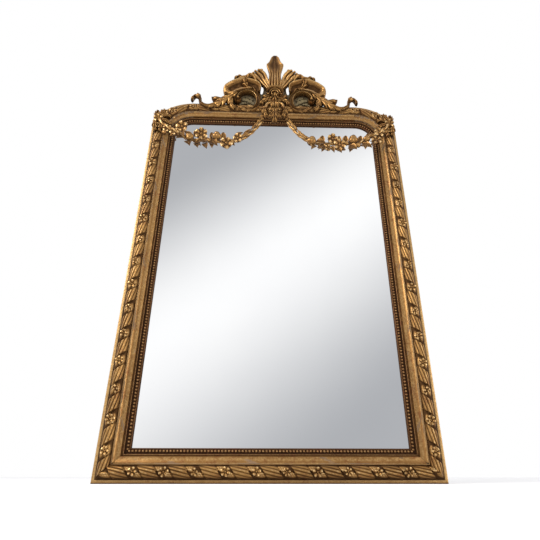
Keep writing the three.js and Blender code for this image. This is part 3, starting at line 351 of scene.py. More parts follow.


def gilded_layers_group():
    """Dirt and painted shade where 1 - relief * shelter is high, rubbed leaf with a painted highlight
    where relief and shelter are both high, clay where a noise passes a threshold, and leaf elsewhere."""
    tree, nodes, given, out = new_group(
        "gilded_layers",
        [("Relief", FLOAT, 0.5), ("Point", VECTOR, (0, 0, 0)), ("Leaf", COLOUR, (0.42, 0.25, 0.1, 1)),
         ("Rubbed", COLOUR, (0.8, 0.58, 0.32, 1)), ("Dirt", FLOAT, 0.6), ("Clay", FLOAT, 0.3)],
        [("Color", COLOUR), ("Dirt and shade mask", FLOAT)])
    relief, point = given["Relief"], given["Point"]
    cloud = nodes.noise(point, 9.0, 5.0, 0.6)
    fine = nodes.noise(point, 160.0, 3.0, 0.6)
    patches = nodes.noise(point, 34.0, 6.0, 0.7)
    shelter = nodes.shelter(NOOK)
    open_relief = nodes.math("MULTIPLY", relief, nodes.ramp(shelter, 0.2, 0.95))
    hollow = nodes.math("ADD", nodes.math("SUBTRACT", 1.0, open_relief), nodes.stray(cloud, 0.55))
    # painted shade and dirt: the low and sheltered places go dark brown
    dirt = nodes.math("MULTIPLY", nodes.ramp(hollow, 0.3, 0.95), given["Dirt"], clamp=True)
    height = nodes.math("ADD", relief, nodes.stray(fine, 0.5))
    # painted highlight and rubbed wear: the high, open places go bright
    wear_and_highlight = nodes.math("MULTIPLY", nodes.ramp(height, 0.72, 1.05), nodes.ramp(shelter, 0.4, 0.95))
    worn = nodes.math("MULTIPLY", nodes.ramp(patches, 0.53, 0.62), given["Clay"])
    thin = nodes.mix(0.45, given["Leaf"], THIN_LEAF)
    leaf = nodes.mix(nodes.ramp(cloud, 0.3, 0.7), given["Leaf"], thin)
    dirty_and_shaded = nodes.mix(dirt, nodes.mix(worn, leaf, RED_CLAY), SHADE_AND_DIRT)
    nodes.tree.links.new(nodes.mix(wear_and_highlight, dirty_and_shaded, given["Rubbed"]), out["Color"])
    nodes.tree.links.new(dirt, out["Dirt and shade mask"])
    return tree


GILDED_LAYERS = gilded_layers_group()
print(GILDED_LAYERS.name, "has", len(GILDED_LAYERS.nodes), "nodes")

# %% The skin of the gesso
BRUSHED, PITTED = 90.0, 420.0  # strokes and pits to a metre


def gesso_skin_group():
    """Height of the gesso: 0.7 of its brush strokes and 0.3 of its pits."""
    tree, nodes, given, out = new_group(
        "gesso_skin", [("Point", VECTOR, (0, 0, 0)), ("Scale", FLOAT, 1.0)], [("Height", FLOAT)])
    point, scale = given["Point"], given["Scale"]
    brushed = nodes.noise(point, nodes.math("MULTIPLY", scale, BRUSHED), 4.0, 0.6)
    pits = nodes.noise(point, nodes.math("MULTIPLY", scale, PITTED), 2.0, 0.5)
    total = nodes.weighed(brushed, 0.7, nodes.ramp(pits, 0.25, 0.42), 0.3)
    nodes.tree.links.new(total, out["Height"])
    return tree


GESSO_SKIN = gesso_skin_group()
print(GESSO_SKIN.name, "has", len(GESSO_SKIN.nodes), "nodes")

# %% Three kinds of gilding
SKIN_HEIGHT = 0.0006  # metres


def gilding(name, leaf, rubbed, dirt, clay, rough=(0.3, 0.62), metallic=0.85):
    """Gold over clay and gesso. Its relief is the piece's own attribute, and its roughness runs
    from the first of rough on clean leaf to the second under dirt and painted shade. Its second
    colour is worn leaf with a painted highlight on open crests."""
    material, nodes, shader = new_material(name, metallic, leaf)
    point = nodes.object_point()
    relief = nodes.add("ShaderNodeAttribute", {"attribute_name": "relief"}).outputs["Fac"]
    layers = nodes.add("ShaderNodeGroup", {"node_tree": GILDED_LAYERS}, Relief=relief, Point=point,
                       Leaf=(*leaf, 1), Rubbed=(*rubbed, 1), Dirt=dirt, Clay=clay)
    skin = nodes.add("ShaderNodeGroup", {"node_tree": GESSO_SKIN}, Point=point, Scale=1.0)
    shine, dull = rough
    uneven = nodes.weighed(layers.outputs["Dirt and shade mask"], dull - shine, skin.outputs["Height"], 0.12)
    nodes.join(shader, base_color=layers.outputs["Color"],
               roughness=nodes.math("ADD", uneven, shine - 0.04),
               normal=nodes.bump(skin.outputs["Height"], SKIN_HEIGHT, 0.8))
    return material


# The second colour of each is worn leaf and painted highlight; the dirt value darkens hollows with dirt
# and painted shade.
carved_gilding = gilding("carved_gilding", (0.41, 0.22, 0.068), (0.8, 0.56, 0.27),
                         dirt=0.88, clay=0.35)
moulded_gilding = gilding("moulded_gilding", (0.33, 0.17, 0.054), (0.6, 0.38, 0.155),
                          dirt=0.65, clay=0.5)
# The slip's gilding is a darker copy of the moulding's: painted shade beside the glass.
shaded_gilding = gilding("shaded_gilding", (0.16, 0.07, 0.02), (0.36, 0.205, 0.08), dirt=0.85, clay=0.6,
                         rough=(0.38, 0.7), metallic=0.7)
print("gilding materials:", carved_gilding.name, moulded_gilding.name, shaded_gilding.name)

# %% [markdown]
# ## Wood
# Behind the gilding the frame is plain softwood, darkened by age. Its grain runs along each board,
# so there are two woods, one upright and one level. A noise that is stretched twenty times along
# one axis looks like sawn softwood, and needs no picture of wood.

# %% Bare wood
ACROSS_GRAIN, ALONG_GRAIN = 60.0, 3.0


def bare_wood(name, light, dark, along):
    """Softwood: 0.75 of rings stretched along one axis and 0.25 of fine pores, then dark stains."""
    material, nodes, shader = new_material(name, 0.0, light)
    stretch = [ACROSS_GRAIN] * 3
    stretch[along] = ALONG_GRAIN
    point = nodes.object_point(stretch)
    rings = nodes.noise(point, 1.0, 6.0, 0.6, 0.6)
    pores = nodes.noise(point, 7.0, 2.0, 0.5)
    grain = nodes.weighed(rings, 0.75, pores, 0.25)
    tone = nodes.mix(nodes.ramp(grain, 0.35, 0.66), (*dark, 1), (*light, 1))
    stain = nodes.ramp(nodes.noise(nodes.object_point(), 4.0, 4.0), 0.35, 0.8)
    nodes.join(shader, base_color=nodes.mix(nodes.math("MULTIPLY", stain, 0.45), tone, (*dark, 1)),
               normal=nodes.bump(grain, 0.0005), roughness=nodes.line(grain, 0.25, 0.6))
    return material


wood_upright = bare_wood("wood_upright", (0.34, 0.22, 0.12), (0.13, 0.075, 0.035), 2)
wood_level = bare_wood("wood_level", (0.33, 0.21, 0.115), (0.12, 0.07, 0.032), 0)
print("woods:", wood_upright.name, wood_level.name)

# %% [markdown]
# ## Paint, steel and glass
# The crest board and the leaves carved on it wear a thin ochre wash. The screws, straps and rings
# are dull steel. The glass is silvered: its front is polished, with the faint cloudiness of old
# silver. Each could be one flat colour, but then it would look new, so a noise or two ages it.

# %% Ochre wash
OCHRE, WORN_BROWN = (0.27, 0.21, 0.095, 1), (0.16, 0.115, 0.045, 1)
PALE_SPECK, DEEP_SHADE = (0.36, 0.29, 0.15, 1), (0.06, 0.042, 0.018, 1)


def ochre_wash():
    """Thin ochre paint over wood, brown where it has worn and dark where the crest shades it."""
    material, nodes, shader = new_material("ochre_wash", 0.0, (0.2, 0.14, 0.05))
    point = nodes.object_point()
    cloud = nodes.noise(point, 14.0, 6.0, 0.65)
    speck = nodes.noise(point, 220.0, 3.0, 0.6)
    paint = nodes.mix(nodes.ramp(cloud, 0.35, 0.65), OCHRE, WORN_BROWN)
    worn = nodes.mix(nodes.ramp(speck, 0.6, 0.75), paint, PALE_SPECK)
    shade = nodes.ramp(nodes.shelter(0.05), 0.9, 0.2)
    nodes.join(shader, base_color=nodes.mix(shade, worn, DEEP_SHADE), normal=nodes.bump(cloud, 0.0008),
               roughness=nodes.line(speck, 0.2, 0.5))
    return material


ochre = ochre_wash()
print("paint:", ochre.name)

# %% Steel and silvered glass
STEEL_COLOUR, RUST_COLOUR = (0.3, 0.29, 0.27), (0.12, 0.055, 0.025, 1)
DIM_SILVER, CLEAR_SILVER = (0.94, 0.945, 0.955, 1), (0.965, 0.97, 0.975, 1)
FOXED_SILVER = (0.5, 0.48, 0.42, 1)


def dull_steel():
    """Steel with a brown bloom of old rust, where a fine noise passes its middle."""
    material, nodes, shader = new_material("dull_steel", 0.9, STEEL_COLOUR)
    rust = nodes.ramp(nodes.noise(nodes.object_point(), 180.0, 5.0, 0.65), 0.5, 0.68)
    nodes.join(shader, base_color=nodes.mix(rust, (*STEEL_COLOUR, 1), RUST_COLOUR),
               roughness=nodes.line(rust, 0.35, 0.34))
    return material


def silvered_glass():
    """Old silvering: a cool tint that clouds slowly over the glass, with a few faint spots."""
    material, nodes, shader = new_material("silvered_glass", 1.0, (0.8, 0.82, 0.84))
    point = nodes.object_point()
    cloud = nodes.ramp(nodes.noise(point, 2.2, 3.0), 0.35, 0.7)
    foxing = nodes.ramp(nodes.noise(point, 55.0, 4.0, 0.7), 0.66, 0.74)
    tint = nodes.mix(cloud, DIM_SILVER, CLEAR_SILVER)
    nodes.join(shader, base_color=nodes.mix(nodes.math("MULTIPLY", foxing, 0.05), tint, FOXED_SILVER),
               roughness=nodes.line(foxing, 0.06, 0.02))
    return material


steel, glass = dull_steel(), silvered_glass()
print("metal and glass:", steel.name, glass.name)

# %% [markdown]
# ## Dressing the frame's own parts
# The frame's solids already have the right shape, so they are kept, and only their plain material
# is changed. A part's name says what it is made of.

# %% Dress the frame's own parts
LEVEL_BOARDS = ("bottom_rail", "top_rail", "upper_batten", "lower_batten")


def finish_of(node):
    """The material of a part of the frame, from its name."""
    if "screw" in node or "hanger" in node:
        return steel
    if node in LEVEL_BOARDS:
        return wood_level
    return {"mirror_glass": glass, "crest_board": ochre}.get(node, wood_upright)


for node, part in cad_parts.items():
    part.data.materials.clear()
    part.data.materials.append(finish_of(node))
print("dressed", len(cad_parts), "nodes")

# %% [markdown]
# ## The moulding
# The frame is made of runs: two stiles, two rails and two rounded shoulders. A joiner shapes one
# section and mitres it round the corners. Here too the section is written once, and each run is a
# rule that puts a point of the section, so far across the moulding, at a distance along the frame.
# A curve with a bevel could do the same, but a rule also gives mitred ends and the ornament's own
# measure along the run.

# %% The section's widths and depths, from the outer edge inwards
FILLET_WIDTH, GROOVE_WIDTH, TORUS_WIDTH, ARRIS_WIDTH = 10, 2.5, 36, 1.5
COVE_WIDTH, QUIRK_WIDTH, LEDGE_WIDTH, LIP_WIDTH = 20, 3, 7, 13
GROOVE_SINK, COVE_RISE, COVE_SINK, QUIRK_DEPTH = 4.6, 6, 4, 42
SIGHT_RADIUS, SHOULDER_DROP = 70, 91
TORUS_START = FILLET_WIDTH + GROOVE_WIDTH
TORUS_END = TORUS_START + TORUS_WIDTH
TORUS_MIDDLE = (TORUS_START + TORUS_END - GAP) / 2
TORUS_HALF = (TORUS_WIDTH - GAP) / 2
COVE_START = TORUS_END + ARRIS_WIDTH
COVE_END = COVE_START + COVE_WIDTH
SLIP_START = COVE_END + QUIRK_WIDTH
LEDGE_END = SLIP_START + LEDGE_WIDTH
RAIL_WIDTH = LEDGE_END + LIP_WIDTH
CORNER_RADIUS = SIGHT_RADIUS + RAIL_WIDTH
TORUS_ARC = CORNER_RADIUS - TORUS_MIDDLE
SHOULDER_LENGTH = TORUS_ARC * np.pi / 2
OUTER_ARC = (CORNER_RADIUS**2 + SHOULDER_DROP**2) / (2 * SHOULDER_DROP)
OUTER_CORNER = np.arctan2(CORNER_RADIUS, CORNER_RADIUS - SHOULDER_DROP)
print(f"moulding {RAIL_WIDTH} mm wide, torus from {TORUS_START} to {TORUS_END} mm")

# %% Where a point of the section lies on a run


def shoulder_reach(across, turn):
    """Distance from the shoulder's centre. Inside the torus the moulding turns in true quarter
    rounds; the outer edge is a flatter arc that meets the stile at an angle."""
    inner = CORNER_RADIUS - TORUS_END
    offset = CORNER_RADIUS - OUTER_ARC
    arc = np.cos(turn) * offset + np.sqrt(OUTER_ARC**2 - (np.sin(turn) * offset) ** 2)
    outer = np.where(turn < OUTER_CORNER, arc, CORNER_RADIUS / np.maximum(np.sin(turn), 0.1))
    broad = inner + (outer - inner) * (TORUS_END - across) / TORUS_END
    return np.where(across >= TORUS_END, CORNER_RADIUS - across, broad)


def place_on(run, across, along):
    """x and z of a point of the section, so far across the moulding and so far along the run."""
    if run == "stile":
        return across - HALF_WIDTH + 0 * along, along + 0 * across
    if run == "bottom":
        return along + 0 * across, across + 0 * along
    if run == "top":
        return along + 0 * across, BODY_HEIGHT - across + 0 * along
    turn = along / TORUS_ARC
    reach = shoulder_reach(across, turn)
    return -CORNER_X - reach * np.sin(turn), CORNER_Z + reach * np.cos(turn)


print("the stile's torus stands at x", round(float(place_on("stile", TORUS_MIDDLE, 0)[0]), 1))

# %% The runs
# Where each run starts and ends. A mitred end moves along with the distance across.
RUN_ENDS = {
    "stile": (lambda across: across + GAP, lambda across: CORNER_Z - GAP + 0 * across),
    "bottom": (lambda across: across - HALF_WIDTH, lambda across: HALF_WIDTH - across),
    "top": (lambda across: GAP - CORNER_X + 0 * across, lambda across: CORNER_X - GAP + 0 * across),
    "shoulder": (lambda across: 0 * across, lambda across: SHOULDER_LENGTH + 0 * across),
}
RUN_LENGTH = {"stile": CORNER_Z, "bottom": 2 * HALF_WIDTH, "top": 2 * CORNER_X,
              "shoulder": SHOULDER_LENGTH}
RUN_NODES = {
    "stile": ("left_{}", "right_{}"), "bottom": ("bottom_{}",), "top": ("top_{}",),
    "shoulder": ("left_shoulder_{}", "right_shoulder_{}"),
}


def stations(run, across, step):
    """Distances along a run for each point across: from its start line to its end line."""
    share = np.linspace(0, 1, int(RUN_LENGTH[run] / step) + 2)[:, None]
    start, end = RUN_ENDS[run]
    return start(across) * (1 - share) + end(across) * share


def hand_made(along, across, size=0.25):
    """The small waves that a hand leaves in gesso: three slow sines along the run."""
    long_wave = np.sin(along / 41 + across / 9)
    middle_wave = 0.7 * np.sin(along / 17 + 2.1)
    short_wave = 0.5 * np.sin(along / 7.3 + across / 3)
    return size * (long_wave + middle_wave + short_wave) / 2.2


print("runs:", ", ".join(f"{run} {length:.0f} mm" for run, length in RUN_LENGTH.items()))

# %% [markdown]
# ### Gesso of the flat bands and the cove
# The gilder's gesso is a skin about a millimetre thick over the wood. It softens every arris. A
# bevel could soften them too, but gesso also waves a little from end to end. So the skin is a
# ribbon: its upper line is the section with rounded corners, and its lower line is the same one
# sunk into the wood.

# %% Rounded sections and skins
GESSO_PROUD, GESSO_SUNK, GESSO_STEP = 0.3, 1.3, 6


def rounded(corners, radius):
    """A polyline whose corners are replaced by short curves (quadratic, pulled to the corner)."""
    corners = np.array(corners, float)
    line = [corners[:1]]
    t = np.linspace(0, 1, 5)[:, None]
    for before, corner, after in zip(corners, corners[1:], corners[2:]):
        a = corner + (before - corner) * min(0.5, radius / max(np.linalg.norm(before - corner), 1e-6))
        b = corner + (after - corner) * min(0.5, radius / max(np.linalg.norm(after - corner), 1e-6))
        line.append((1 - t) ** 2 * a + 2 * t * (1 - t) * corner + t**2 * b)
    return np.concatenate(line + [corners[-1:]])


def skin_shell(run, upper, relief):
    """A ribbon along a run: the upper line of the section, closed by itself sunk below."""
    across = np.r_[upper[:, 0], upper[::-1, 0]]
    depth = np.r_[upper[:, 1] + GESSO_PROUD, upper[::-1, 1] - GESSO_SUNK]
    along = stations(run, across, GESSO_STEP)
    x, z = place_on(run, across[None, :], along)
    top = len(upper)
    wave = hand_made(along, across)
    wave[:, top:] = 0
    wave[:, [0, top - 1]] = 0
    return rings_shell(to_metres(x, depth + wave, z), np.r_[relief, 0 * relief][None, :])


print("gesso:", GESSO_PROUD + GESSO_SUNK, "mm thick")

# %% The two bands of gesso
ARRIS_DEPTH, GROOVE_DEPTH = FILLET_DEPTH + COVE_RISE, FILLET_DEPTH - GROOVE_SINK
cove_turn = np.linspace(0, np.pi / 2, 22)
cove_line = np.stack([
    COVE_START + COVE_WIDTH * (1 - np.cos(cove_turn)),
    FILLET_DEPTH + COVE_RISE - (COVE_RISE + COVE_SINK) * np.sin(cove_turn),
], -1)
outer_band = rounded([
    [0.4, FILLET_DEPTH - 3], [0.4, FILLET_DEPTH - 1], [1.8, FILLET_DEPTH], [FILLET_WIDTH, FILLET_DEPTH],
    [FILLET_WIDTH, GROOVE_DEPTH], [TORUS_START, GROOVE_DEPTH]], 1.4)
cove_band = np.concatenate([
    rounded([[TORUS_END - 0.2, FILLET_DEPTH + 1], [TORUS_END - 0.2, ARRIS_DEPTH],
             [COVE_START, ARRIS_DEPTH]], 1.0),
    cove_line[1:-1],
    rounded([cove_line[-1], [COVE_END + 0.2, QUIRK_DEPTH], [SLIP_START, QUIRK_DEPTH]], 1.0),
])
band_relief = np.interp(
    outer_band[:, 0], [0, 1.5, 5, FILLET_WIDTH - 1, FILLET_WIDTH + 0.3, TORUS_START],
    [0.5, 1.0, 0.8, 1.0, 0.1, 0.0])
cove_relief = np.interp(
    cove_band[:, 0], [TORUS_END, COVE_START, COVE_START + 5, COVE_START + 12, COVE_END - 1, SLIP_START],
    [0.3, 1.0, 0.7, 0.85, 0.8, 0.0])
for run, names in RUN_NODES.items():
    shells = [skin_shell(run, outer_band, band_relief), skin_shell(run, cove_band, cove_relief)]
    for name, made in zip(names, both_sides(shells)):
        new_piece(name.format("gesso"), made, moulded_gilding)

# %% [markdown]
# ### The ribbon and flower torus
# A half round carries the main ornament: slanting lengths of ribbon with four reeds, cut off by
# deep grooves, and between them a flower lying between two small leaves. On the real frame it is
# pressed from a mould and glued on. One repeat could be modelled and copied along, but it would
# not bend round the shoulders. So all of it but the flower is one height added to the half round,
# as a function of the distance along and the turn around.

# %% Sizes of the ribbon
TORUS_HEIGHT, REED_HEIGHT, REEDS, LEAF_HEIGHT = 16, 2.5, 4, 4.2
REPEAT, SEGMENT, SLANT, FIRST_RIBBON = 85.7, 46, 0.7, 17.3
DITCH_OFF, DITCH_WIDTH, DITCH_DEPTH = 2.2, 1.9, 2
BED_SINK, RIBBON_RISE = 1.6, 1.4
MARGIN = 0.28                              # radians of plain edge beside the reeds
SMALL_LEAF = {"off": (7, 7.5), "half": (19, 8)}  # along and across


def smooth(value, low, high):
    """0 below low, 1 above high, with a soft step between them: 3 t^2 - 2 t^3."""
    t = np.clip((value - low) / (high - low), 0, 1)
    return t * t * (3 - 2 * t)


def groove(local, place):
    """A bell curve, 1 at its place along the repeat."""
    return np.exp(-(((local - place) / DITCH_WIDTH) ** 2))


def small_leaves(local, across):
    """Two leaves beside the flower: the dome (1 - u^2 - v^2)^0.6, with a vein and small ribs."""
    middle = (SEGMENT + REPEAT) / 2
    leaves = 0
    for side in (-1, 1):
        u = (local - middle + side * SMALL_LEAF["off"][0]) / SMALL_LEAF["half"][0]
        v = (across - side * SMALL_LEAF["off"][1]) / SMALL_LEAF["half"][1]
        dome = np.clip(1 - u**2 - v**2, 0, 1) ** 0.6
        leaves = leaves + dome * (1 - 0.5 * np.exp(-((v / 0.12) ** 2)) - 0.25 * np.abs(np.sin(9 * u)))
    return leaves


print(f"a repeat of {REPEAT} mm: {SEGMENT} mm of ribbon, then {REPEAT - SEGMENT:.1f} mm for a flower")

# %% Height of the torus


def torus_relief(along, turn, starts, slant):
    """Height in millimetres over the half round, for distances along and turns from 0 to pi:
    reeds |sin(number * turn + twist)|^0.8 on the ribbon, leaves beside the flower, and ditches."""
    across = -TORUS_HALF * np.cos(turn)
    shifted = along - slant * across
    number = np.clip(np.floor((shifted - starts[0]) / REPEAT), -1, len(starts) - 1)
    local = shifted - starts[0] - number * REPEAT
    on_run = (number >= 0) * 1.0
    ribbon = smooth(local, 0, 2) * smooth(SEGMENT - local, 0, 2) * on_run
    twist = -0.3 * np.sign(slant) * (local / SEGMENT - 0.5)
    around = np.clip((turn - MARGIN) / (np.pi - 2 * MARGIN), 0, 1)
    reeds = np.abs(np.sin(REEDS * (around + twist) * np.pi)) ** 0.8
    ditch = sum(groove(local, place) for place in (-DITCH_OFF, SEGMENT + DITCH_OFF, REPEAT - DITCH_OFF))
    leaves = small_leaves(local, across)
    height = ribbon * (RIBBON_RISE + (REED_HEIGHT + 0.4) * reeds) - BED_SINK
    height = height - DITCH_DEPTH * ditch * on_run
    height = height + (1 - ribbon) * on_run * LEAF_HEIGHT * leaves
    # The relief paints a highlight on the reeds and leaves and shade in the ditches, and runs darker
    # toward the half round's flanks.
    relief = 0.1 + 0.75 * ribbon * reeds**1.5 + 1.1 * (1 - ribbon) * leaves - 0.3 * ditch * on_run
    relief = relief + 0.1 * (1 - on_run)
    return height * np.sin(turn) ** 0.4, np.clip(relief, 0, 1) * (0.35 + 0.65 * np.sin(turn))


def torus_shell(run, starts, slant, from_middle=False, step=1.5, around=44):
    """The half round of a run with its ornament, closed below by a flat bed: its height is
    (torus height + ornament) * sin(turn)."""
    turn = np.r_[np.linspace(0, np.pi, around), np.pi * 0.66, np.pi * 0.33][None, :]
    across = TORUS_MIDDLE - TORUS_HALF * np.cos(turn)
    first, last = RUN_ENDS[run]
    if from_middle:
        first = np.zeros_like
    crown = TORUS_MIDDLE * np.ones(1)
    length = float((last(crown) - first(crown))[0])
    share = np.linspace(0, 1, int(length / step) + 2)[:, None]
    along = first(across) * (1 - share) + last(across) * share
    height, relief = torus_relief(along, turn, starts, slant)
    depth = FILLET_DEPTH + GAP + (TORUS_HEIGHT + height) * np.sin(turn)
    depth[:, around:] = FILLET_DEPTH + GAP
    relief[:, around:] = 0
    x, z = place_on(run, across, along)
    return rings_shell(to_metres(x, depth + hand_made(along, across, 0.2) * np.sin(turn), z), relief)


crown_height = torus_relief(np.array([[SEGMENT / 2]]), np.array([[np.pi / 2]]), [0.0], SLANT)[0]
print(f"the crown of a ribbon lies {crown_height.item():.1f} mm over the half round")

# %% [markdown]
# ### Flowers
# A carved flower is a polar surface: going round, the petals swell and the edge falls back between
# them; going out, the surface rises from a ball at the heart to the lip of the petal. Petals could
# be separate pieces, but a carver cuts them from one block, and so does this formula. The same
# function makes the small flowers of the torus and the large ones of the garlands.

# %% The flower


def turned_axes(facing):
    """Three directions at right angles: to the side, up, and ahead along facing."""
    ahead = np.array(facing, float) / np.linalg.norm(facing)
    side = np.cross(ahead, [0, 0, 1.0])
    side /= max(np.linalg.norm(side), 1e-6)
    return side, np.cross(side, ahead), ahead


def flower_shell(centre, radius, facing, petals, turn, cup, thick, rings, sides):
    """A flower at centre (x, depth, z), looking along facing. Its edge is radius times
    0.74 + 0.26 |cos(petals a / 2)|^0.7, and its height a cup with a ball in the middle."""
    angle = np.linspace(0, 2 * np.pi, sides, endpoint=False)[:, None]
    share = np.r_[np.linspace(0, 1, rings), 0.8][None, :]
    lobe = np.abs(np.cos(petals * (angle - turn) / 2))
    reach = radius * share * (1 - (1 - (0.74 + 0.26 * lobe**0.7)) * share**2)
    button = np.sqrt(np.clip(1 - (share / 0.27) ** 2, 0, 1))
    bowl = cup * np.sin(np.clip((share - 0.2) / 0.8, 0, 1) * np.pi * 0.72)
    crease = 0.2 * share * (1 - lobe) * np.exp(-(lobe**2) / 0.2)
    vein = 0.05 * share * np.exp(-(((lobe - 1) / 0.03) ** 2))
    height = radius * (0.12 + bowl + 0.3 * button - crease - vein)
    height = np.broadcast_to(height, (sides, rings + 1)).copy()
    height[:, -1] = -radius * thick
    # The relief paints a highlight on the petals' middles and tips and shade in the creases between them.
    relief = 0.2 + 0.65 * bowl / cup * lobe**2 + 0.4 * button + 0.4 * share**5 * lobe - 3 * crease
    relief = np.broadcast_to(np.clip(relief, 0, 1), (sides, rings + 1)).copy()
    relief[:, -1] = 0
    side, up, ahead = turned_axes(facing)
    flat = (reach * np.cos(angle))[..., None] * side + (reach * np.sin(angle))[..., None] * up
    spot = (np.array(centre) + flat + height[..., None] * ahead).transpose(1, 0, 2)
    return rings_shell(to_metres(spot[..., 0], spot[..., 1], spot[..., 2]), relief.T)


def torus_flowers(run, places, radius=12.5):
    """A flower on the crown of the torus at each place along a run. Their size, turn and facing
    vary with slow sines of their number, so that no two are the same."""
    shells = []
    for number, along in enumerate(places):
        x, z = place_on(run, np.array(TORUS_MIDDLE), np.array(along))
        centre = (float(x), FILLET_DEPTH + GAP + TORUS_HEIGHT - 1.4, float(z))
        facing = (0.3 * np.sin(2.1 * number), 1, 0.25 * np.cos(1.7 * number))
        shells.append(flower_shell(centre, radius * (1 + 0.12 * np.sin(2.3 * number)), facing,
                                   petals=5 + number % 2, turn=number * 1.3, cup=0.28, thick=0.5,
                                   rings=8, sides=30))
    return shells


print("one flower of the torus has", len(torus_flowers("bottom", [0.0])[0][0]), "points")

# %% Where the ornament starts on each run


def repeats(start, number):
    """So many starts of a ribbon, one repeat apart."""
    return start + np.arange(number) * REPEAT


FLOWER_OFFSET = (SEGMENT + REPEAT) / 2
stile_starts = repeats(FIRST_RIBBON, int((CORNER_Z - FIRST_RIBBON) // REPEAT) + 1)
bottom_number = int((2 * HALF_WIDTH + REPEAT - SEGMENT) // REPEAT) + 1
bottom_starts = repeats(-(bottom_number * REPEAT - (REPEAT - SEGMENT)) / 2, bottom_number)
top_starts = repeats(SEGMENT / 2, int((CORNER_X - SEGMENT / 2) // REPEAT) + 1)
shoulder_starts = repeats(SEGMENT / 2 - REPEAT, 3)
print("ribbons:", len(stile_starts), "on a stile,", bottom_number, "below,",
      2 * len(top_starts), "above")

# %% The carved torus of each run
MITRE_FREE = 60  # millimetres beside a mitre that have no flower


def new_pair(name, shells, node, sides=("right", "left")):
    """Gilded carving for one side, and the same mirrored for the other, each over its node."""
    for side, made in zip(sides, both_sides(shells)):
        new_piece(f"{side}_{name}", made, carved_gilding, replaces=[f"{side}_{node}"])


stile_torus = [torus_shell("stile", stile_starts, SLANT)]
stile_torus += torus_flowers("stile", stile_starts[:-1] + FLOWER_OFFSET)
new_pair("torus_carving", stile_torus, "torus", sides=("left", "right"))
bottom_places = [a for a in bottom_starts + FLOWER_OFFSET if abs(a) < HALF_WIDTH - MITRE_FREE]
bottom_torus = [torus_shell("bottom", bottom_starts, -SLANT)] + torus_flowers("bottom", bottom_places)
new_piece("bottom_torus_carving", bottom_torus, carved_gilding, replaces=["bottom_torus"])
half_top = [torus_shell("top", top_starts, -SLANT, from_middle=True)]
half_top += torus_flowers("top", top_starts[2:-1] + FLOWER_OFFSET)
new_piece("top_torus_carving", half_top + both_sides(half_top)[1], carved_gilding,
          replaces=["top_torus"])
shoulder_torus = [torus_shell("shoulder", shoulder_starts, SLANT)]
shoulder_torus += torus_flowers("shoulder", shoulder_starts[:2] + FLOWER_OFFSET)
new_pair("shoulder_torus_carving", shoulder_torus, "shoulder_torus", sides=("left", "right"))

# %% [markdown]
# ### The sight slip and its pearls
# Beside the glass runs a separate slip: a small flat bead, a row of turned pearls, and a bevel
# that dips to the glass. The slip is one more section carried along the runs. Each pearl is a low
# dome with only a few faces, because there are hundreds.

# %% The slip
BEAD_WIDTH, RIM_WIDTH, BEAD_DEPTH, RIM_DEPTH = 3, 3.5, 44, 36
PEARL_RADIUS, PEARL_PITCH = 4.7, 9.8
SLIP_STEP = 12


def slip_shell(run):
    """The slip along a run: its section is a polyline from its outer edge to the glass, a bead
    above, a bed for the pearls and a bevelled rim."""
    outer, bed, rim = SLIP_START + GAP, RIM_DEPTH + 0.8, RAIL_WIDTH - RIM_WIDTH
    line = np.array([
        [outer, GLASS_FRONT + GAP], [outer, BEAD_DEPTH - 0.8], [outer + 0.8, BEAD_DEPTH],
        [outer + BEAD_WIDTH - 0.8, BEAD_DEPTH], [outer + BEAD_WIDTH, BEAD_DEPTH - 0.9],
        [outer + BEAD_WIDTH + 0.9, bed], [rim, bed], [rim + 0.8, bed + 0.6],
        [RAIL_WIDTH, RIM_DEPTH - 1], [RAIL_WIDTH, GLASS_FRONT + GAP]])
    across, depth = line.T
    x, z = place_on(run, across[None, :], stations(run, across, SLIP_STEP))
    relief = np.array([0, 0.7, 0.9, 0.9, 0.7, 0.1, 0.05, 0.5, 0.3, 0.0])
    return rings_shell(to_metres(x, depth, z), relief[None, :])


print("the stile's slip has", len(slip_shell("stile")[0]), "points")

# %% Pearls
PEARL_LINE = RAIL_WIDTH - RIM_WIDTH - PEARL_RADIUS - GAP


def pearl_shell(x, z, radius=PEARL_RADIUS, rings=4, sides=8):
    """A dome at x, z: a ring at each rise has radius * cos(rise) and stands radius * sin(rise)."""
    rise = np.linspace(0, np.pi / 2 * 0.92, rings)[:, None]
    turn = np.linspace(0, 2 * np.pi, sides, endpoint=False)[None, :]
    depth = RIM_DEPTH + 0.6 + radius * np.sin(rise) + 0 * turn
    points = to_metres(x + radius * np.cos(rise) * np.cos(turn), depth,
                       z + radius * np.cos(rise) * np.sin(turn))
    return rings_shell(points, 0.15 + 0.85 * np.sin(rise) + 0 * turn)


def pearls(run):
    """Pearls evenly spaced along a run, half a pitch from its ends."""
    start, end = (float(edge(np.array([PEARL_LINE]))[0]) for edge in RUN_ENDS[run])
    stretch = (CORNER_RADIUS - PEARL_LINE) / TORUS_ARC if run == "shoulder" else 1.0
    number = int((end - start) * stretch / PEARL_PITCH)
    return [pearl_shell(*map(float, place_on(run, np.array(PEARL_LINE), np.array(along))))
            for along in start + (np.arange(number) + 0.5) * (end - start) / number]


for run, names in RUN_NODES.items():
    shells = [slip_shell(run)] + pearls(run)
    for name, made in zip(names, both_sides(shells)):
        node = name.format("slip" if run == "shoulder" else "pearl_slip")
        new_piece(node + "_carving", made, shaded_gilding, replaces=[node])

# %% [markdown]
# ## Carving
# The crest is carved limewood, and the garlands are cast from carved patterns. A carver's leaf is a
# long strap that follows a drawn line: it swells and narrows, its edge is notched into lobes that
# sweep forwards, ridges run from the midrib into the lobes, and its tip curls. It could be
# sculpted, but then every leaf would be a new task. So one function lays such a strap along any
# line, and the section across it is a rule of its own.

# %% Sizes and lines
CREST_BED = FILLET_DEPTH + GAP


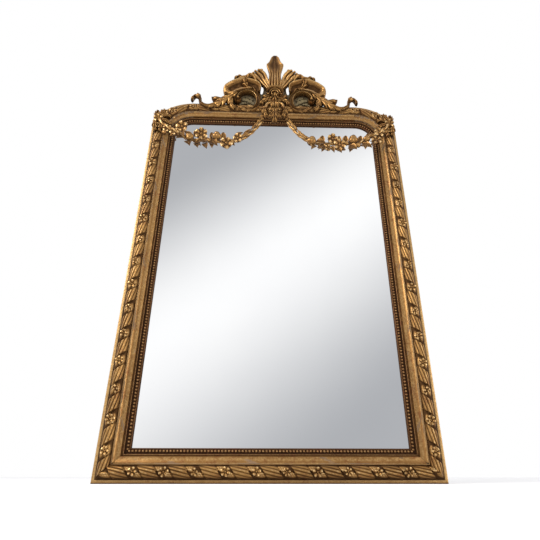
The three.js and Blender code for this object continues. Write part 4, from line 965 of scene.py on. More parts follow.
def through(t, *pairs):
    """A size that passes smoothly through the given (place, size) pairs."""
    places, sizes = np.array(pairs, float).T
    i = np.clip(np.searchsorted(places, t, side="right") - 1, 0, len(places) - 2)
    share = np.clip((t - places[i]) / (places[i + 1] - places[i]), 0, 1)
    return sizes[i] + (sizes[i + 1] - sizes[i]) * share**2 * (3 - 2 * share)


def size(*pairs):
    """A size along a strap that passes through the given pairs."""
    return lambda t: through(t, *pairs)


def even(value):
    """A size that stays the same along a strap."""
    return lambda t: value + 0 * t


def way(points, number):
    """Evenly spaced points and directions on a smooth curve (Catmull-Rom) through the given ones."""
    points = np.array(points, float)
    ends = np.concatenate([2 * points[:1] - points[1:2], points, 2 * points[-1:] - points[-2:-1]])
    t = np.linspace(0, 1, 24, endpoint=False)[None, :, None]
    a, b, c, d = (ends[i:len(ends) - 3 + i, None] for i in range(4))
    square, cube = 2 * a - 5 * b + 4 * c - d, 3 * b - a - 3 * c + d
    curve = 0.5 * (2 * b + (c - a) * t + square * t**2 + cube * t**3)
    curve = np.concatenate([curve.reshape(-1, points.shape[1]), points[-1:]])
    walked = np.r_[0, np.cumsum(np.linalg.norm(np.diff(curve, axis=0), axis=1))]
    spots = np.linspace(0, walked[-1], number)
    line = np.stack([np.interp(spots, walked, column) for column in curve.T], -1)
    ahead = np.gradient(line, axis=0)
    return line, ahead / np.linalg.norm(ahead, axis=1, keepdims=True)


print("halfway between sizes 2 and 6:", float(through(np.array(0.5), (0, 2), (1, 6))))

# %% [markdown]
# ### Sections
# A carver works with gouges, and each leaves its own hollow. A section is that hollow: the height
# across a strap, from u = -1 at one edge to 1 at the other, which may change with t along it.

# %% Sections of the leaf, the scroll and the hood


def saw(t, lobes):
    """Grows from 0 to 1 along each lobe of a leaf and drops back at the cut between two."""
    return (lobes * t + 0.35) % 1.0


def leaf_section(t, u, lobes):
    """An acanthus leaf: high along the midrib, a cut down its middle, and a ridge into each lobe."""
    ridge = np.sin(np.pi * saw(t, lobes) ** 1.5)
    body = 0.72 + 0.2 * (1 - np.abs(u) ** 1.4) - 0.22 * np.exp(-((u / 0.16) ** 2))
    return body + (0.3 * ridge - 0.2) * np.abs(u) ** 0.8 - 0.22 * np.abs(u) ** 9


def scroll_section(t, u):
    """A C-scroll: a bright rolled lip inside, a hollow, and a softer roll outside."""
    return 0 * t + through(u, (-1, 0.72), (-0.82, 1), (-0.55, 0.72), (-0.1, 0.5), (0.35, 0.55),
                           (0.8, 0.9), (1, 0.62))


def hood_section(t, u):
    """A shell-like arch: a small lip below, a deep hollow, and a thick rolled rim on the outside."""
    line = through(u, (-1, 0.6), (-0.88, 0.98), (-0.66, 0.9), (-0.42, 0.5), (0, 0.34), (0.3, 0.4),
                   (0.45, 0.72), (0.6, 0.7), (0.75, 0.98), (0.9, 1), (1, 0.7))
    ribs = 0.08 * np.cos(34 * t) * through(u, (-1, 0), (-0.6, 0.2), (0, 1), (0.6, 0.3), (1, 0))
    lobe = 0.62 + 0.38 * np.sqrt(np.clip(1 - u**2, 0, 1))
    end = smooth(t, 0.78, 0.97)
    return (line + ribs) * (1 - end) + lobe * end


def round_section(t, u):
    """A plain rounded back: 0.35 at the edges and 1 in the middle, as the root of 1 - u^2."""
    return 0.35 + 0.65 * np.sqrt(np.clip(1 - u**2, 0, 1)) + 0 * t


print("a leaf is cut to", round(float(leaf_section(0.5, 0.0, 3)), 2), "of its height along the midrib")

# %% The carved strap


def strap(points, half, rise, section=leaf_section, lobes=0, notch=0.55, sweep=1.1, scallop=0.0,
          back=even(CREST_BED), thick=None, stations=60, across=25):
    """A strap along points (x, z above the top edge). half, rise and back are its half width, height
    and bed along it. Between its lobes the edge falls to 1 - notch of the width, pushed ahead by
    sweep * half width * |u|^1.6. Without thick it is solid down to its bed."""
    line, ahead = way(points, stations)
    t = np.linspace(0, 1, stations)[:, None]
    u = np.linspace(-1, 1, across)[None, :]
    under = np.linspace(0.9, -0.9, 5)[None, :]
    tooth = 1 - notch * (1 - saw(t, lobes) ** 0.7) if lobes else 1.0
    width = half(t) * tooth
    depth = back(t) + rise(t) * (section(t, u, lobes) if lobes else section(t, u))
    floor = back(t) + 0 * under
    if thick is not None:
        inner = np.stack([np.interp(under[0], u[0], row) for row in depth])
        floor = np.maximum(floor, inner - thick(t))
    every = np.concatenate([u, under], 1)
    forward = sweep * width * np.abs(every) ** 1.6 * (1 if lobes else 0)
    forward = forward + scallop * t**6 * np.abs(np.cos(2 * np.pi * every))
    x = line[:, :1] - ahead[:, 1:] * every * width + ahead[:, :1] * forward
    z = line[:, 1:] + ahead[:, :1] * every * width + ahead[:, 1:] * forward
    high = (depth - back(t)) / np.maximum(rise(t), 1e-3)
    # The relief paints a highlight on the strap's high middle and along the edges of its lobes.
    edge_shine = saw(t, lobes) if lobes else 0.4
    relief = 0.85 * np.clip(1.5 * high - 0.55, 0, 1) + 0.45 * np.abs(u) ** 6 * edge_shine
    relief = np.clip(np.concatenate([relief, 0 * floor], 1), 0, 1)
    return rings_shell(to_metres(x, np.concatenate([depth, floor], 1), BODY_HEIGHT + z), relief)


def rib(points, half, rise, stations, across, **others):
    """A strap with a plain rounded back."""
    return strap(points, half, rise, section=round_section, stations=stations, across=across, **others)


print("a plain strap has", len(rib([(0, 0), (9, 9)], even(3), even(9), 60, 25)[0]), "points")

# %% Leaf, bud and coil


def leaf(points, half, rise=26, lobes=3, tip=0.5, **others):
    """A pointed acanthus leaf that swells to half and ends in a curl tip * rise high."""
    return strap(points, size((0, half * 0.55), (0.35, half), (0.75, half * 0.72), (1, half * 0.08)),
                 size((0, rise * 0.85), (0.55, rise), (0.85, rise), (1, rise * tip)),
                 lobes=lobes, **others)


def ball(x, depth, z, radius, squash=1.0, dimple=0.0, rings=9, sides=14):
    """A bud: a sphere of latitude rings, with a dimple drawn as a cut across its front."""
    fall = np.linspace(0.16, np.pi - 0.16, rings)[:, None]
    turn = np.linspace(0, 2 * np.pi, sides, endpoint=False)[None, :]
    reach = radius * np.sin(fall) * (1 - dimple * np.abs(np.sin(1.5 * turn)) ** 6)
    points = to_metres(x + reach * np.cos(turn), depth + radius * squash * np.cos(fall) + 0 * turn,
                       BODY_HEIGHT + z + reach * np.sin(turn))
    return rings_shell(points, np.clip(0.2 + 0.6 * np.cos(fall), 0, 1) + 0 * turn)


def volute(x, z, radius, start, turns=1.4, rise=30, hand=-1, band=0.42):
    """A coil: a strap whose line is a spiral, the radius falling evenly, round a button."""
    share = np.linspace(0, 1, 14)
    angle = start + hand * share * turns * 2 * np.pi
    reach = radius * (1 - 0.8 * share) - radius * band * (1 - 0.6 * share) * 0.5
    line = np.stack([x + reach * np.cos(angle), z + reach * np.sin(angle)], -1)
    coil = rib(line, size((0, radius * band * 0.5), (1, radius * band * 0.18)),
               size((0, rise * 0.85), (1, rise)), stations=48, across=9)
    return [coil, ball(x, CREST_BED + rise - radius * 0.1, z, radius * 0.3)]


print("a leaf has", len(leaf([(0, 0), (9, 9)], 3)[0]), "points, and a bud", len(ball(0, 0, 0, 5)[0]))

# %% [markdown]
# ### The shell
# The middle of the crest is a cabochon under a coiled hood, from which a small leaf spills. It
# could be one sculpted block. As a few straps and balls that sink into each other it keeps the
# carver's order of work: ground, arch, cabochon, then the leaves that lie over them.

# %% Shell
SHELL_Z, SHELL_RADIUS = 45, 38
SHELL_BAND = SHELL_RADIUS * 0.24


def shell_arches():
    """Two arches round the cabochon: arcs of radius 1 and 0.5 of the band's middle line."""
    middle = SHELL_RADIUS - SHELL_BAND
    angle = np.linspace(1.26, -0.26, 20) * np.pi
    outer = np.stack([middle * np.cos(angle), SHELL_Z + middle * np.sin(angle)], -1)
    inner = np.stack([0.5 * middle * np.cos(angle), SHELL_Z + 2 + 0.5 * middle * np.sin(angle)], -1)
    broad = size((0, SHELL_BAND * 0.7), (0.2, SHELL_BAND), (0.8, SHELL_BAND), (1, SHELL_BAND * 0.7))
    hood = strap(outer, broad, even(34), section=lambda t, u: scroll_section(t, -u),
                 stations=80, across=15)
    return hood, rib(inner, even(SHELL_BAND * 0.5), even(27), stations=50, across=11)


def shell_shells():
    """A round ground, the arches, the cabochon, the spilling leaf with its wings and fan, coils."""
    cabochon = ball(0, CREST_BED + 14, SHELL_Z + 4, SHELL_RADIUS * 0.24, squash=0.9, rings=12, sides=20)
    ground = rib([(0, SHELL_Z - 32), (0, SHELL_Z), (0, SHELL_Z + 32)],
                 lambda t: 34 * np.sqrt(np.clip(1 - (2 * t - 1) ** 2, 0.01, 1)), even(13),
                 stations=24, across=15)
    spill = strap([(0, SHELL_Z + 4), (2, SHELL_Z - 20), (-2, SHELL_Z - 50), (0, SHELL_Z - 80)],
                  size((0, 8), (0.35, 10), (0.75, 19), (1, 6)), size((0, 33), (0.8, 37), (1, 30)),
                  lobes=3, notch=0.4, stations=70)
    wings = [leaf([(side * 6, SHELL_Z - 6), (side * 15, SHELL_Z - 20), (side * 13, SHELL_Z - 36)],
                  8, 31, lobes=2) for side in (-1, 1)]
    fan = [rib([(side * 1.5 + 0.2 * side * k, -6), (side * (3 + 5 * k), -22),
                (side * (4 + 8 * k), -34 + 4 * k)],
               size((0, 2), (0.8, 5), (1, 3)), size((0, 30), (0.8, 34), (1, 26)), stations=14, across=9)
           for side in (-1, 1) for k in range(3)]
    coils = volute(-28, SHELL_Z - 16, 12, 0.6 * np.pi, rise=35, hand=1)
    coils += volute(28, SHELL_Z - 16, 12, 0.4 * np.pi, rise=35, hand=-1)
    return [ground, *shell_arches(), cabochon, spill, *wings, *fan, *coils]


new_piece("shell_carving", shell_shells(), carved_gilding, replaces=["shell"])

# %% [markdown]
# ### The finial and the petals
# Behind the shell stands a tall spade-shaped leaf, cupped at the top and fluted below, with a
# fluted petal leaning out on each side, whose scalloped end curls over. Both are straps with
# sections of their own, because their flutes run along them and not into lobes.

# %% Finial
FINIAL_TOP = 292.6


def finial_section(t, u):
    """Fluted below, then cupped: the middle sinks and the edges stand up, with a soft central rib."""
    flutes = 1 - 0.34 * (1 - np.abs(np.cos(2.5 * np.pi * u)) ** 0.6) - 0.1 * u**2 - 0.3 * np.abs(u) ** 12
    cup = 0.42 + 0.5 * np.abs(u) ** 1.8 + 0.14 * np.exp(-((u / 0.13) ** 2)) - 0.25 * np.abs(u) ** 14
    upper = smooth(t, 0.42, 0.7)
    return flutes * (1 - upper) + cup * upper


def finial_half(t):
    """The smaller of a swelling stem and a point that narrows evenly, with a slow wave."""
    stem = through(t, (0, 25), (0.2, 31), (0.47, 27), (0.7, 37.5), (1, 35))
    point = 0.5 + 36 * np.clip(1.02 - t, 0, 1) / 0.24 * (1 + 0.25 * np.sin(14 * t))
    return np.minimum(stem, point)


finial = strap([(0, 66), (0, 170), (0, FINIAL_TOP)], finial_half,
               size((0, 22), (0.2, 24), (0.47, 18), (0.72, 26), (0.92, 24), (1, 18)),
               section=finial_section, stations=120, across=45)
collar = rib([(-27, 88), (0, 80), (27, 88)], size((0, 4), (0.5, 6), (1, 4)), even(27),
             stations=24, across=9)
new_piece("finial_carving", [finial, collar], carved_gilding, replaces=["finial"])

# %% Petals
PETAL_END = (78, CREST_BED + 29, 163)


def petal_section(t, u):
    """Three broad flutes, deeper towards the curling end."""
    return 1 - (0.18 + 0.26 * t) * (1 - np.abs(np.cos(1.5 * np.pi * u)) ** 0.8) - 0.2 * np.abs(u) ** 10


petal = strap([(26, 84), (42, 118), (60, 148), (80, 165)],
              size((0, 12), (0.4, 21), (0.8, 30), (0.93, 28), (1, 18)),
              size((0, 20), (0.5, 22), (0.82, 32), (0.93, 35), (1, 27)), section=petal_section, scallop=6,
              thick=size((0, 30), (0.5, 20), (0.8, 6), (1, 5)), stations=70, across=37)
inner_petal = rib([(20, 86), (30, 112), (40, 136), (46, 152)], size((0, 6), (0.6, 10), (1, 2)),
                  size((0, 16), (0.7, 20), (1, 12)), stations=30, across=13)
petal_edge = [ball(PETAL_END[0] + aside, PETAL_END[1], PETAL_END[2] + up, 6)
              for aside, up in ((-20, 13), (-7, 13), (7, 5), (16, -7))]
new_pair("petal_carving", [petal, inner_petal, *petal_edge], "petal")

# %% [markdown]
# ### The open scrolls
# Beside the shell stands a C-scroll, pierced so that only the painted board shows in it. It starts
# in a small leaf on the rail, climbs beside the shell, rolls over the top and ends in a coil. Its
# line is three quarters of an ellipse that runs on into a spiral, so the strap follows both in one
# go and shows no join.

# %% Scrolls
SCROLL_X, SCROLL_Z, SCROLL_ACROSS, SCROLL_TALL, SCROLL_HALF = 116.5, 2, 49.5, 58.5, 7.8
COIL_IN, COIL_DOWN = 11, 3  # from the ellipse's end to the middle of its coil
RAIL_BED = 73               # depth of the rail's torus under the scroll's foot


def scroll_shells():
    """The ellipse and its spiral as one strap, the coil's button, and two leaves at its foot."""
    angle = np.linspace(1.5, 0.06, 26) * np.pi
    ring = np.stack([SCROLL_X + SCROLL_ACROSS * np.cos(angle),
                     SCROLL_Z + SCROLL_TALL * np.sin(angle)], -1)
    coil_x, coil_z = ring[-1, 0] - COIL_IN, ring[-1, 1] - COIL_DOWN
    spin = np.linspace(0, -1.2, 8)[1:] * 2 * np.pi
    reach = np.linspace(11, 5, 7)
    coil = np.stack([coil_x + reach * np.cos(spin), coil_z + reach * np.sin(spin)], -1)
    band = strap(np.concatenate([ring, coil]),
                 size((0, 3), (0.26, 11.5), (0.55, SCROLL_HALF), (0.78, SCROLL_HALF), (0.88, 5), (1, 2)),
                 size((0, 10), (0.16, 30), (0.8, 31), (1, 34)), section=scroll_section,
                 back=size((0, RAIL_BED), (0.16, CREST_BED), (1, CREST_BED)), stations=180, across=17)
    button = ball(coil_x, CREST_BED + 30, coil_z, 5.2)
    foot = leaf([(98, -56), (116, -57), (134, -49), (148, -34)], 9, 11, lobes=3,
                back=size((0, RAIL_BED), (1, RAIL_BED + 1)), tip=0.9)
    bud_leaf = leaf([(100, -50), (112, -44), (128, -38)], 6, 12, lobes=2, back=even(RAIL_BED - 1))
    return [band, button, foot, bud_leaf]


def ground_leaves():
    """The low relief leaves on the board inside the scroll: broad, soft and shallow."""
    return [leaf([(86, -4), (104, 14), (126, 24), (146, 20)], 13, 7, lobes=4, tip=0.3, sweep=0.5),
            leaf([(92, 22), (108, 36), (126, 40)], 8, 6, lobes=3, tip=0.3, sweep=0.5),
            leaf([(150, -6), (134, 2), (116, 2)], 8, 8, lobes=3, tip=0.3, sweep=0.5)]


new_pair("scroll_carving", scroll_shells(), "scroll")
new_piece("ground_leaves", sum(both_sides(ground_leaves()), []), ochre)

# %% [markdown]
# ### The hoods and the curls above them
# A broad hood arches over each scroll, thick at its outer edge and hollow inside, and small curls
# of leaf climb over it. The hood is one wide strap, so its hollow and its rim are only a section,
# and the curls are leaves laid across it.

# %% Hoods and curls


def hood_end(t):
    """1 along the hood, then a round end: the root of 1 - s^2 over its last eighth."""
    return np.sqrt(np.clip(1 - np.clip((t - 0.88) / 0.125, 0, 1) ** 2, 0.02, 1))


def hood_shells():
    """The arch, its half width swelling to 37 in the middle, and the coil at its outer end."""
    arch = strap([(73, 60), (84, 92), (118, 102), (166, 90), (214, 50)],
                 lambda t: through(t, (0, 13), (0.25, 29), (0.5, 37), (0.8, 33), (1, 24)) * hood_end(t),
                 size((0, 24), (0.5, 26), (0.85, 25), (1, 16)),
                 section=hood_section, stations=110, across=33)
    return [arch, *volute(206, 44, 12, 0.4 * np.pi, turns=1.1, rise=24, hand=-1)]


def curl_shells():
    """A rounded wave, a leaf that crosses the hood, a leaf to each side, and a small coil."""
    wave = rib([(80, 122), (94, 148), (110, 154), (126, 142), (146, 138), (168, 126)],
               size((0, 5), (0.3, 9), (0.6, 8), (1, 4)), size((0, 22), (0.3, 31), (0.7, 29), (1, 20)),
               stations=60, across=13)
    crossing = leaf([(106, 66), (124, 96), (128, 122), (114, 148)], 15, 33, lobes=4, tip=0.9)
    outer = leaf([(128, 134), (148, 144), (162, 142), (176, 130)], 10, 30, lobes=3, tip=0.8)
    inner = leaf([(112, 144), (98, 150), (86, 142), (78, 126)], 9, 29, lobes=3, tip=0.8)
    return [wave, crossing, outer, inner] + volute(110, 151, 10, 1.1 * np.pi, turns=1.2, rise=32, hand=-1)


for side, hood, curls in zip(("right", "left"), both_sides(hood_shells()), both_sides(curl_shells())):
    new_piece(f"{side}_hood_carving", hood, carved_gilding, replaces=[f"{side}_hood"])
    new_piece(f"{side}_curls", curls, carved_gilding, replaces=[f"{side}_lobe_leaf"])

# %% [markdown]
# ### The branches
# From under each hood an acanthus leaf sweeps down and out over the rail, and its stem goes on and
# turns up in a bud. The leaf has to stand clear of the rail's own ornament, so its bed isn't flat:
# it steps forwards where the torus starts.

# %% Branches
TORUS_BED = 71      # depth at which a leaf lies on the rail's torus
BRANCH_FRONT = 87   # depth of the highest leaf


def branch_shells():
    """The main leaf, three smaller ones round it, the stem with its three reeds, and the bud."""
    over = size((0, CREST_BED), (0.25, CREST_BED), (0.5, TORUS_BED - 1), (1, TORUS_BED + 1))
    bud_bed = CREST_BED + 4
    main = strap([(160, 42), (190, 16), (222, -12), (250, -40)],
                 size((0, 12), (0.35, 25), (0.7, 21), (1, 3)), lambda t: BRANCH_FRONT - over(t),
                 lobes=4, notch=0.6, sweep=0.9, back=over, stations=110, across=31)
    upper = leaf([(196, 16), (226, 12), (248, 13), (266, 20)], 12, 28, lobes=2, tip=0.8)
    under = leaf([(178, 8), (182, -14), (176, -36), (160, -48)], 13, 15, lobes=2,
                 back=size((0, TORUS_BED - 1), (1, TORUS_BED)))
    last = leaf([(232, -24), (254, -36), (282, -40)], 9, 14, lobes=2, back=even(TORUS_BED), tip=0.9)
    stem = strap([(240, -20), (272, -36), (298, -30), (312, -6), (316, 18), (326, 30)],
                 size((0, 8), (0.3, 7), (0.7, 6), (1, 8)), size((0, 15), (0.6, 18), (1, 26)),
                 section=lambda t, u: round_section(t, u) * (0.88 + 0.12 * np.cos(3 * np.pi * u)),
                 back=size((0, TORUS_BED), (0.5, TORUS_BED - 1), (0.75, bud_bed), (1, bud_bed)),
                 stations=70, across=15)
    bud = ball(322, CREST_BED + 17, 22, 12.5, squash=0.95, dimple=0.25, rings=12, sides=24)
    beak = leaf([(322, 30), (336, 26), (345, 12), (348, -2)], 8, 24, lobes=2, tip=0.8,
                back=even(CREST_BED + 3))
    return [main, upper, under, last, stem, bud, beak]


new_pair("branch_carving", branch_shells(), "branch")

# %% [markdown]
# ### The pendant
# Below the shell hangs an acanthus pendant that covers the join of the garlands. Its leaves are
# laid for one side and mirrored, over a plain rounded heart that fills the spaces between them.

# %% Pendant
PENDANT_BED, PENDANT_FRONT = 66, 88


def pendant_shells():
    """The heart, the middle leaf, and on each side four leaves, a coil and a plain rib."""
    middle = strap([(0, -48), (0, -72), (0, -92), (0, -117)],
                   size((0, 8), (0.4, 17), (0.7, 13), (1, 1.5)),
                   size((0, 22), (0.5, 24), (0.85, 23), (1, 12)), lobes=3,
                   back=size((0, PENDANT_BED + 2), (0.4, PENDANT_BED), (1, PENDANT_BED - 4)),
                   stations=80, across=31)
    sides = []
    for points, half, lobes, back in (
            ([(10, 2), (30, 4), (48, -6), (57, -22)], 15, 3, CREST_BED),
            ([(30, -30), (42, -46), (42, -68), (33, -92)], 13, 3, PENDANT_BED),
            ([(16, 16), (36, 20), (50, 34)], 10, 2, CREST_BED),
            ([(4, -66), (16, -82), (22, -98)], 8, 2, PENDANT_BED)):
        sides.append(leaf(points, half, PENDANT_FRONT - back, lobes=lobes, back=even(back), tip=0.7))
    sides += volute(20, -60, 15, 0.2 * np.pi, turns=1.5, rise=34, hand=1)
    sides.append(rib([(14, -8), (32, -20), (37, -44)], size((0, 7), (0.6, 10), (1, 6)),
                     size((0, 28), (1, 32)), stations=24, across=13))
    heart = rib([(0, 8), (0, -20), (0, -60)], size((0, 20), (0.5, 30), (1, 20)), size((0, 20), (1, 22)),
                stations=20, across=13)
    return [heart, middle, *sides, *both_sides(sides)[1]]


new_piece("pendant_carving", pendant_shells(), carved_gilding, replaces=["pendant"])

# %% [markdown]
# ## Garlands
# Two garlands hang in front of the glass, from beside the pendant to a spray on each angled corner.
# On the real frame they are cast in composition on a bent wire. The stem is a tube with a ribbon
# wound round it. Flowers with a button, round buds, cupped leaves and pointed leaves crowd along
# its outer part. They could be scattered by chance, but the real ones were placed by eye, so each
# side has its own list of pieces.

# %% The wound stem
STEM_DEPTH = 58
STEM_WAY = [
    (44, 66, -62), (54, 60, -98), (72, STEM_DEPTH, -130), (104, STEM_DEPTH, -172),
    (148, STEM_DEPTH, -204), (200, STEM_DEPTH, -212), (262, STEM_DEPTH, -208),
    (318, STEM_DEPTH, -206), (352, STEM_DEPTH + 2, -200), (386, 80, -186), (426, 84, -166),
    (462, 84, -134)]


def wound_stem(points, radius, winds, stations=220, around=14):
    """A tube round points (x, depth, z). Its radius is wound with a ribbon: 0.88 + 0.24 w^2 of it,
    where w is a wave of (twice the angle + winds turns along it)."""
    line, ahead = way(points, stations)
    t = np.linspace(0, 1, stations)[:, None]
    side = np.cross(ahead, [0, 1.0, 0])
    side /= np.linalg.norm(side, axis=1, keepdims=True)
    front = np.cross(side, ahead)
    front *= np.sign(front[:, 1:2])
    turn = np.linspace(0, 2 * np.pi, around, endpoint=False)[None, :]
    wave = 0.5 + 0.5 * np.sin(2 * turn + 2 * np.pi * winds * t)
    reach = radius(t) * (0.88 + 0.24 * wave**2)
    aside = (reach * np.cos(turn))[..., None] * side[:, None]
    forward = (reach * np.sin(turn))[..., None] * front[:, None]
    spot = line[:, None] + aside + forward
    relief = np.clip(0.25 + 0.75 * wave * (0.5 + 0.5 * np.sin(turn)), 0, 1)
    return rings_shell(to_metres(spot[..., 0], spot[..., 1], BODY_HEIGHT + spot[..., 2]), relief)


print("the stem reaches from", STEM_WAY[0][0], "to", STEM_WAY[-1][0], "mm beside the middle")

# %% Leaves, blossoms and buds


def cupped_leaf(x, depth, z, to_x, to_z, half, lift, bend=0.35, thick=2.2, rings=22, across=15):
    """A thin hollow leaf from (x, z) to (to_x, to_z): its edges stand up as bend * half * u^2, its
    tip lifts, and its back is the same surface, thick behind."""
    t = np.linspace(0, 1, rings)[:, None]
    u = np.linspace(-1, 1, across)[None, :]
    length = float(np.hypot(to_x - x, to_z - z))
    ahead_x, ahead_z = (to_x - x) / length, (to_z - z) / length
    width = half * np.sin(np.pi * np.clip(0.12 + 0.88 * t, 0, 1) ** 0.75) + 0.4
    vein = 0.9 * np.exp(-((u / 0.14) ** 2)) + 0.5 * np.abs(np.cos(7 * t + 3 * np.abs(u))) * np.abs(u)
    top = depth + lift * np.sin(np.pi * t / 1.5) + bend * half * u**2 * np.sin(np.pi * t) ** 0.5 + vein
    every = np.concatenate([u, u[:, ::-1] * 0.97], 1)
    level = np.concatenate([top, top[:, ::-1] - thick], 1)
    leaf_x = x + ahead_x * length * t - ahead_z * every * width
    leaf_z = z + ahead_z * length * t + ahead_x * every * width
    shine = np.clip(0.15 + 0.65 * np.abs(u) ** 3 + 0.35 * np.exp(-((u / 0.14) ** 2)) + 0 * t, 0, 1)
    points = to_metres(leaf_x, level, BODY_HEIGHT + leaf_z)
    return rings_shell(points, np.concatenate([shine, 0 * shine], 1))


def blossom(x, depth, z, radius, turn, petals, facing=(0, 1, 0)):
    """A flower of the garland, deeper and with more rings than the torus's."""
    return flower_shell((x, depth, BODY_HEIGHT + z), radius, facing=facing, petals=petals, turn=turn,
                        cup=0.36, thick=0.28, rings=12, sides=60)


def bud_cluster(x, depth, z, radius, turn):
    """A closed bud: a ball held by three overlapping petals, each a ball moved a little outwards."""
    heart = ball(x, depth, z, radius, squash=0.95, rings=12, sides=22)
    return [heart] + [
        ball(x + 0.34 * radius * np.cos(angle), depth + 0.2 * radius, z + 0.34 * radius * np.sin(angle),
             radius * 0.76, rings=10, sides=18) for angle in turn + np.arange(3) * 2 * np.pi / 3]


print("a cupped leaf has", len(cupped_leaf(0, 0, 0, 20, 20, 8, 5)[0]), "points")

# %% [markdown]
# ### The lists of each side
# Every place is measured sideways from the middle and down from the top edge. A flower has its
# radius, turn and number of petals, a bud its radius, and a leaf the place of its tip and its half
# width. As lists they can be read and changed one by one.

# %% The left garland's pieces
LEFT_FLOWERS = [
    (146, -198, 20, 0.2, 5), (191, -226, 25, 0.8, 5), (294, -180, 26, 0.5, 6), (372, -152, 24, 0.1, 5),
    (398, -186, 19, 0.9, 5), (428, -170, 18, 0.4, 6)]
LEFT_BUDS = [(232, -190, 18), (340, -198, 17), (170, -214, 9), (262, -212, 9), (438, -190, 9)]
LEFT_LEAVES = [
    (262, -200, 226, -238, 19), (276, -200, 316, -236, 12), (288, -214, 254, -208, 11),
    (322, -206, 292, -240, 12), (348, -210, 334, -246, 15), (330, -196, 362, -172, 12),
    (214, -212, 176, -242, 11), (160, -186, 128, -166, 9), (386, -196, 414, -212, 10),
    (126, -186, 98, -150, 8), (404, -176, 378, -206, 11), (204, -206, 206, -172, 11),
    (246, -206, 254, -172, 11), (314, -190, 312, -156, 12), (280, -222, 268, -254, 12),
    (312, -222, 302, -254, 13), (356, -190, 392, -208, 12), (184, -210, 158, -236, 11),
    (378, -176, 356, -208, 12), (250, -222, 246, -254, 10)]
print("left:", len(LEFT_FLOWERS), "flowers,", len(LEFT_BUDS), "buds,", len(LEFT_LEAVES), "leaves")

# %% The right garland's pieces
RIGHT_FLOWERS = [
    (234, -192, 23, 0.3, 5), (262, -222, 24, 0.7, 6), (214, -238, 14, 0.1, 5), (408, -208, 20, 0.6, 5),
    (424, -168, 21, 0.2, 5), (150, -212, 16, 0.9, 5)]
RIGHT_BUDS = [(150, -205, 19), (318, -196, 19), (372, -194, 14), (338, -220, 10), (290, -212, 9)]
RIGHT_LEAVES = [
    (168, -208, 206, -214, 17), (176, -224, 214, -246, 15), (300, -226, 330, -244, 17),
    (244, -232, 268, -262, 12), (236, -206, 232, -164, 12), (352, -212, 390, -236, 15),
    (318, -206, 322, -168, 14), (200, -208, 176, -248, 10), (284, -236, 252, -252, 9),
    (166, -222, 146, -250, 9), (376, -202, 378, -168, 11), (190, -206, 196, -174, 11),
    (222, -226, 238, -264, 12), (284, -208, 290, -174, 12), (312, -222, 300, -258, 12),
    (344, -206, 352, -170, 12), (364, -216, 362, -248, 12), (260, -206, 262, -176, 10),
    (206, -224, 188, -258, 12), (392, -204, 402, -236, 12)]
print("right:", len(RIGHT_FLOWERS), "flowers,", len(RIGHT_BUDS), "buds,", len(RIGHT_LEAVES), "leaves")

# %% The garlands
LEAVES_BED, FLOWERS_BED, RAISED_BED = 60, 64, 79
RAISED = 9  # above this climb a flower lies on the rail, and faces straight ahead


def climb(x):
    """How far the stem has come forwards at x, to pass over the rail."""
    return float(through(np.array(float(x)), (0, 0), (340, 0), (405, 17)))


def garland_shells(flowers, buds, leaves, twist):
    """One garland, as if on the right: its stem, and its pieces at the depth of the stem there."""
    shells = [wound_stem(STEM_WAY, size((0, 6.5), (0.5, 6.5), (1, 7)), 15 + twist)]
    shells += [cupped_leaf(x, LEAVES_BED + climb(x), z, to_x, to_z, half, lift=5 + (i * 5 + twist) % 7)
               for i, (x, z, to_x, to_z, half) in enumerate(leaves)]
    shells += [blossom(x, FLOWERS_BED + climb(x), z, *rest, facing=(0.25 * np.sin(5 * x), 1, -0.3))
               for x, z, *rest in flowers if climb(x) < RAISED]
    shells += [blossom(x, RAISED_BED, z, *rest) for x, z, *rest in flowers if climb(x) >= RAISED]
    for x, z, radius in buds:
        depth = min(FLOWERS_BED + climb(x), 89 - radius * 0.96)
        shells += bud_cluster(x, depth, z, radius, turn=x)
    stem_leaves = (([(50, -70), (66, -108), (96, -152)], 7, 10, 4, lambda t: 60 + 4 * t),
                   ([(96, -150), (118, -178), (148, -196)], 8, 9, 4, even(62)),
                   ([(44, -56), (52, -80), (48, -104)], 7, 12, 3, even(64)))
    return shells + [leaf(points, half, rise, lobes=lobes, back=back, tip=0.6)
                     for points, half, rise, lobes, back in stem_leaves]


left = both_sides(garland_shells(LEFT_FLOWERS, LEFT_BUDS, LEFT_LEAVES, 0))[1]
right = garland_shells(RIGHT_FLOWERS, RIGHT_BUDS, RIGHT_LEAVES, 2)
new_piece("left_garland_carving", left, carved_gilding, replaces=["left_garland"])
new_piece("right_garland_carving", right, carved_gilding, replaces=["right_garland"])

# %% [markdown]
# ### Corner sprays
# On each angled corner a spray of acanthus covers the place where the garland is tied, round a
# large flower, and one leaf reaches to the outer corner. It is made of the same leaves, flowers and
# buds as the rest, because the carver used the same gouges.

# %% Corner sprays
SPRAY_FRONT = 79


def spray_shells():
    """Seven leaves that start beside the tie, each (points, half width), three flowers, three buds."""
    leaves = [leaf(points, half, 18, lobes=4, back=size((0, 72), (1, 66)), tip=0.7) for points, half in (
        ([(474, -116), (482, -107), (489, -99)], 8), ([(472, -112), (462, -84), (446, -62)], 15),
        ([(474, -118), (481, -146), (476, -178)], 12), ([(472, -114), (446, -100), (420, -100)], 13),
        ([(470, -120), (456, -150), (462, -182)], 11), ([(470, -118), (440, -128), (414, -144)], 11),
        ([(478, -110), (484, -88), (476, -66)], 9))]
    flowers = [blossom(471, SPRAY_FRONT, -116, 19, 0.3, 5),
               blossom(446, SPRAY_FRONT - 2, -88, 12, 0.9, 5),
               blossom(468, SPRAY_FRONT - 2, -150, 12, 0.1, 6)]
    buds = [ball(x, SPRAY_FRONT, z, 6) for x, z in ((452, -118), (486, -130), (476, -92))]
    return leaves + flowers + buds


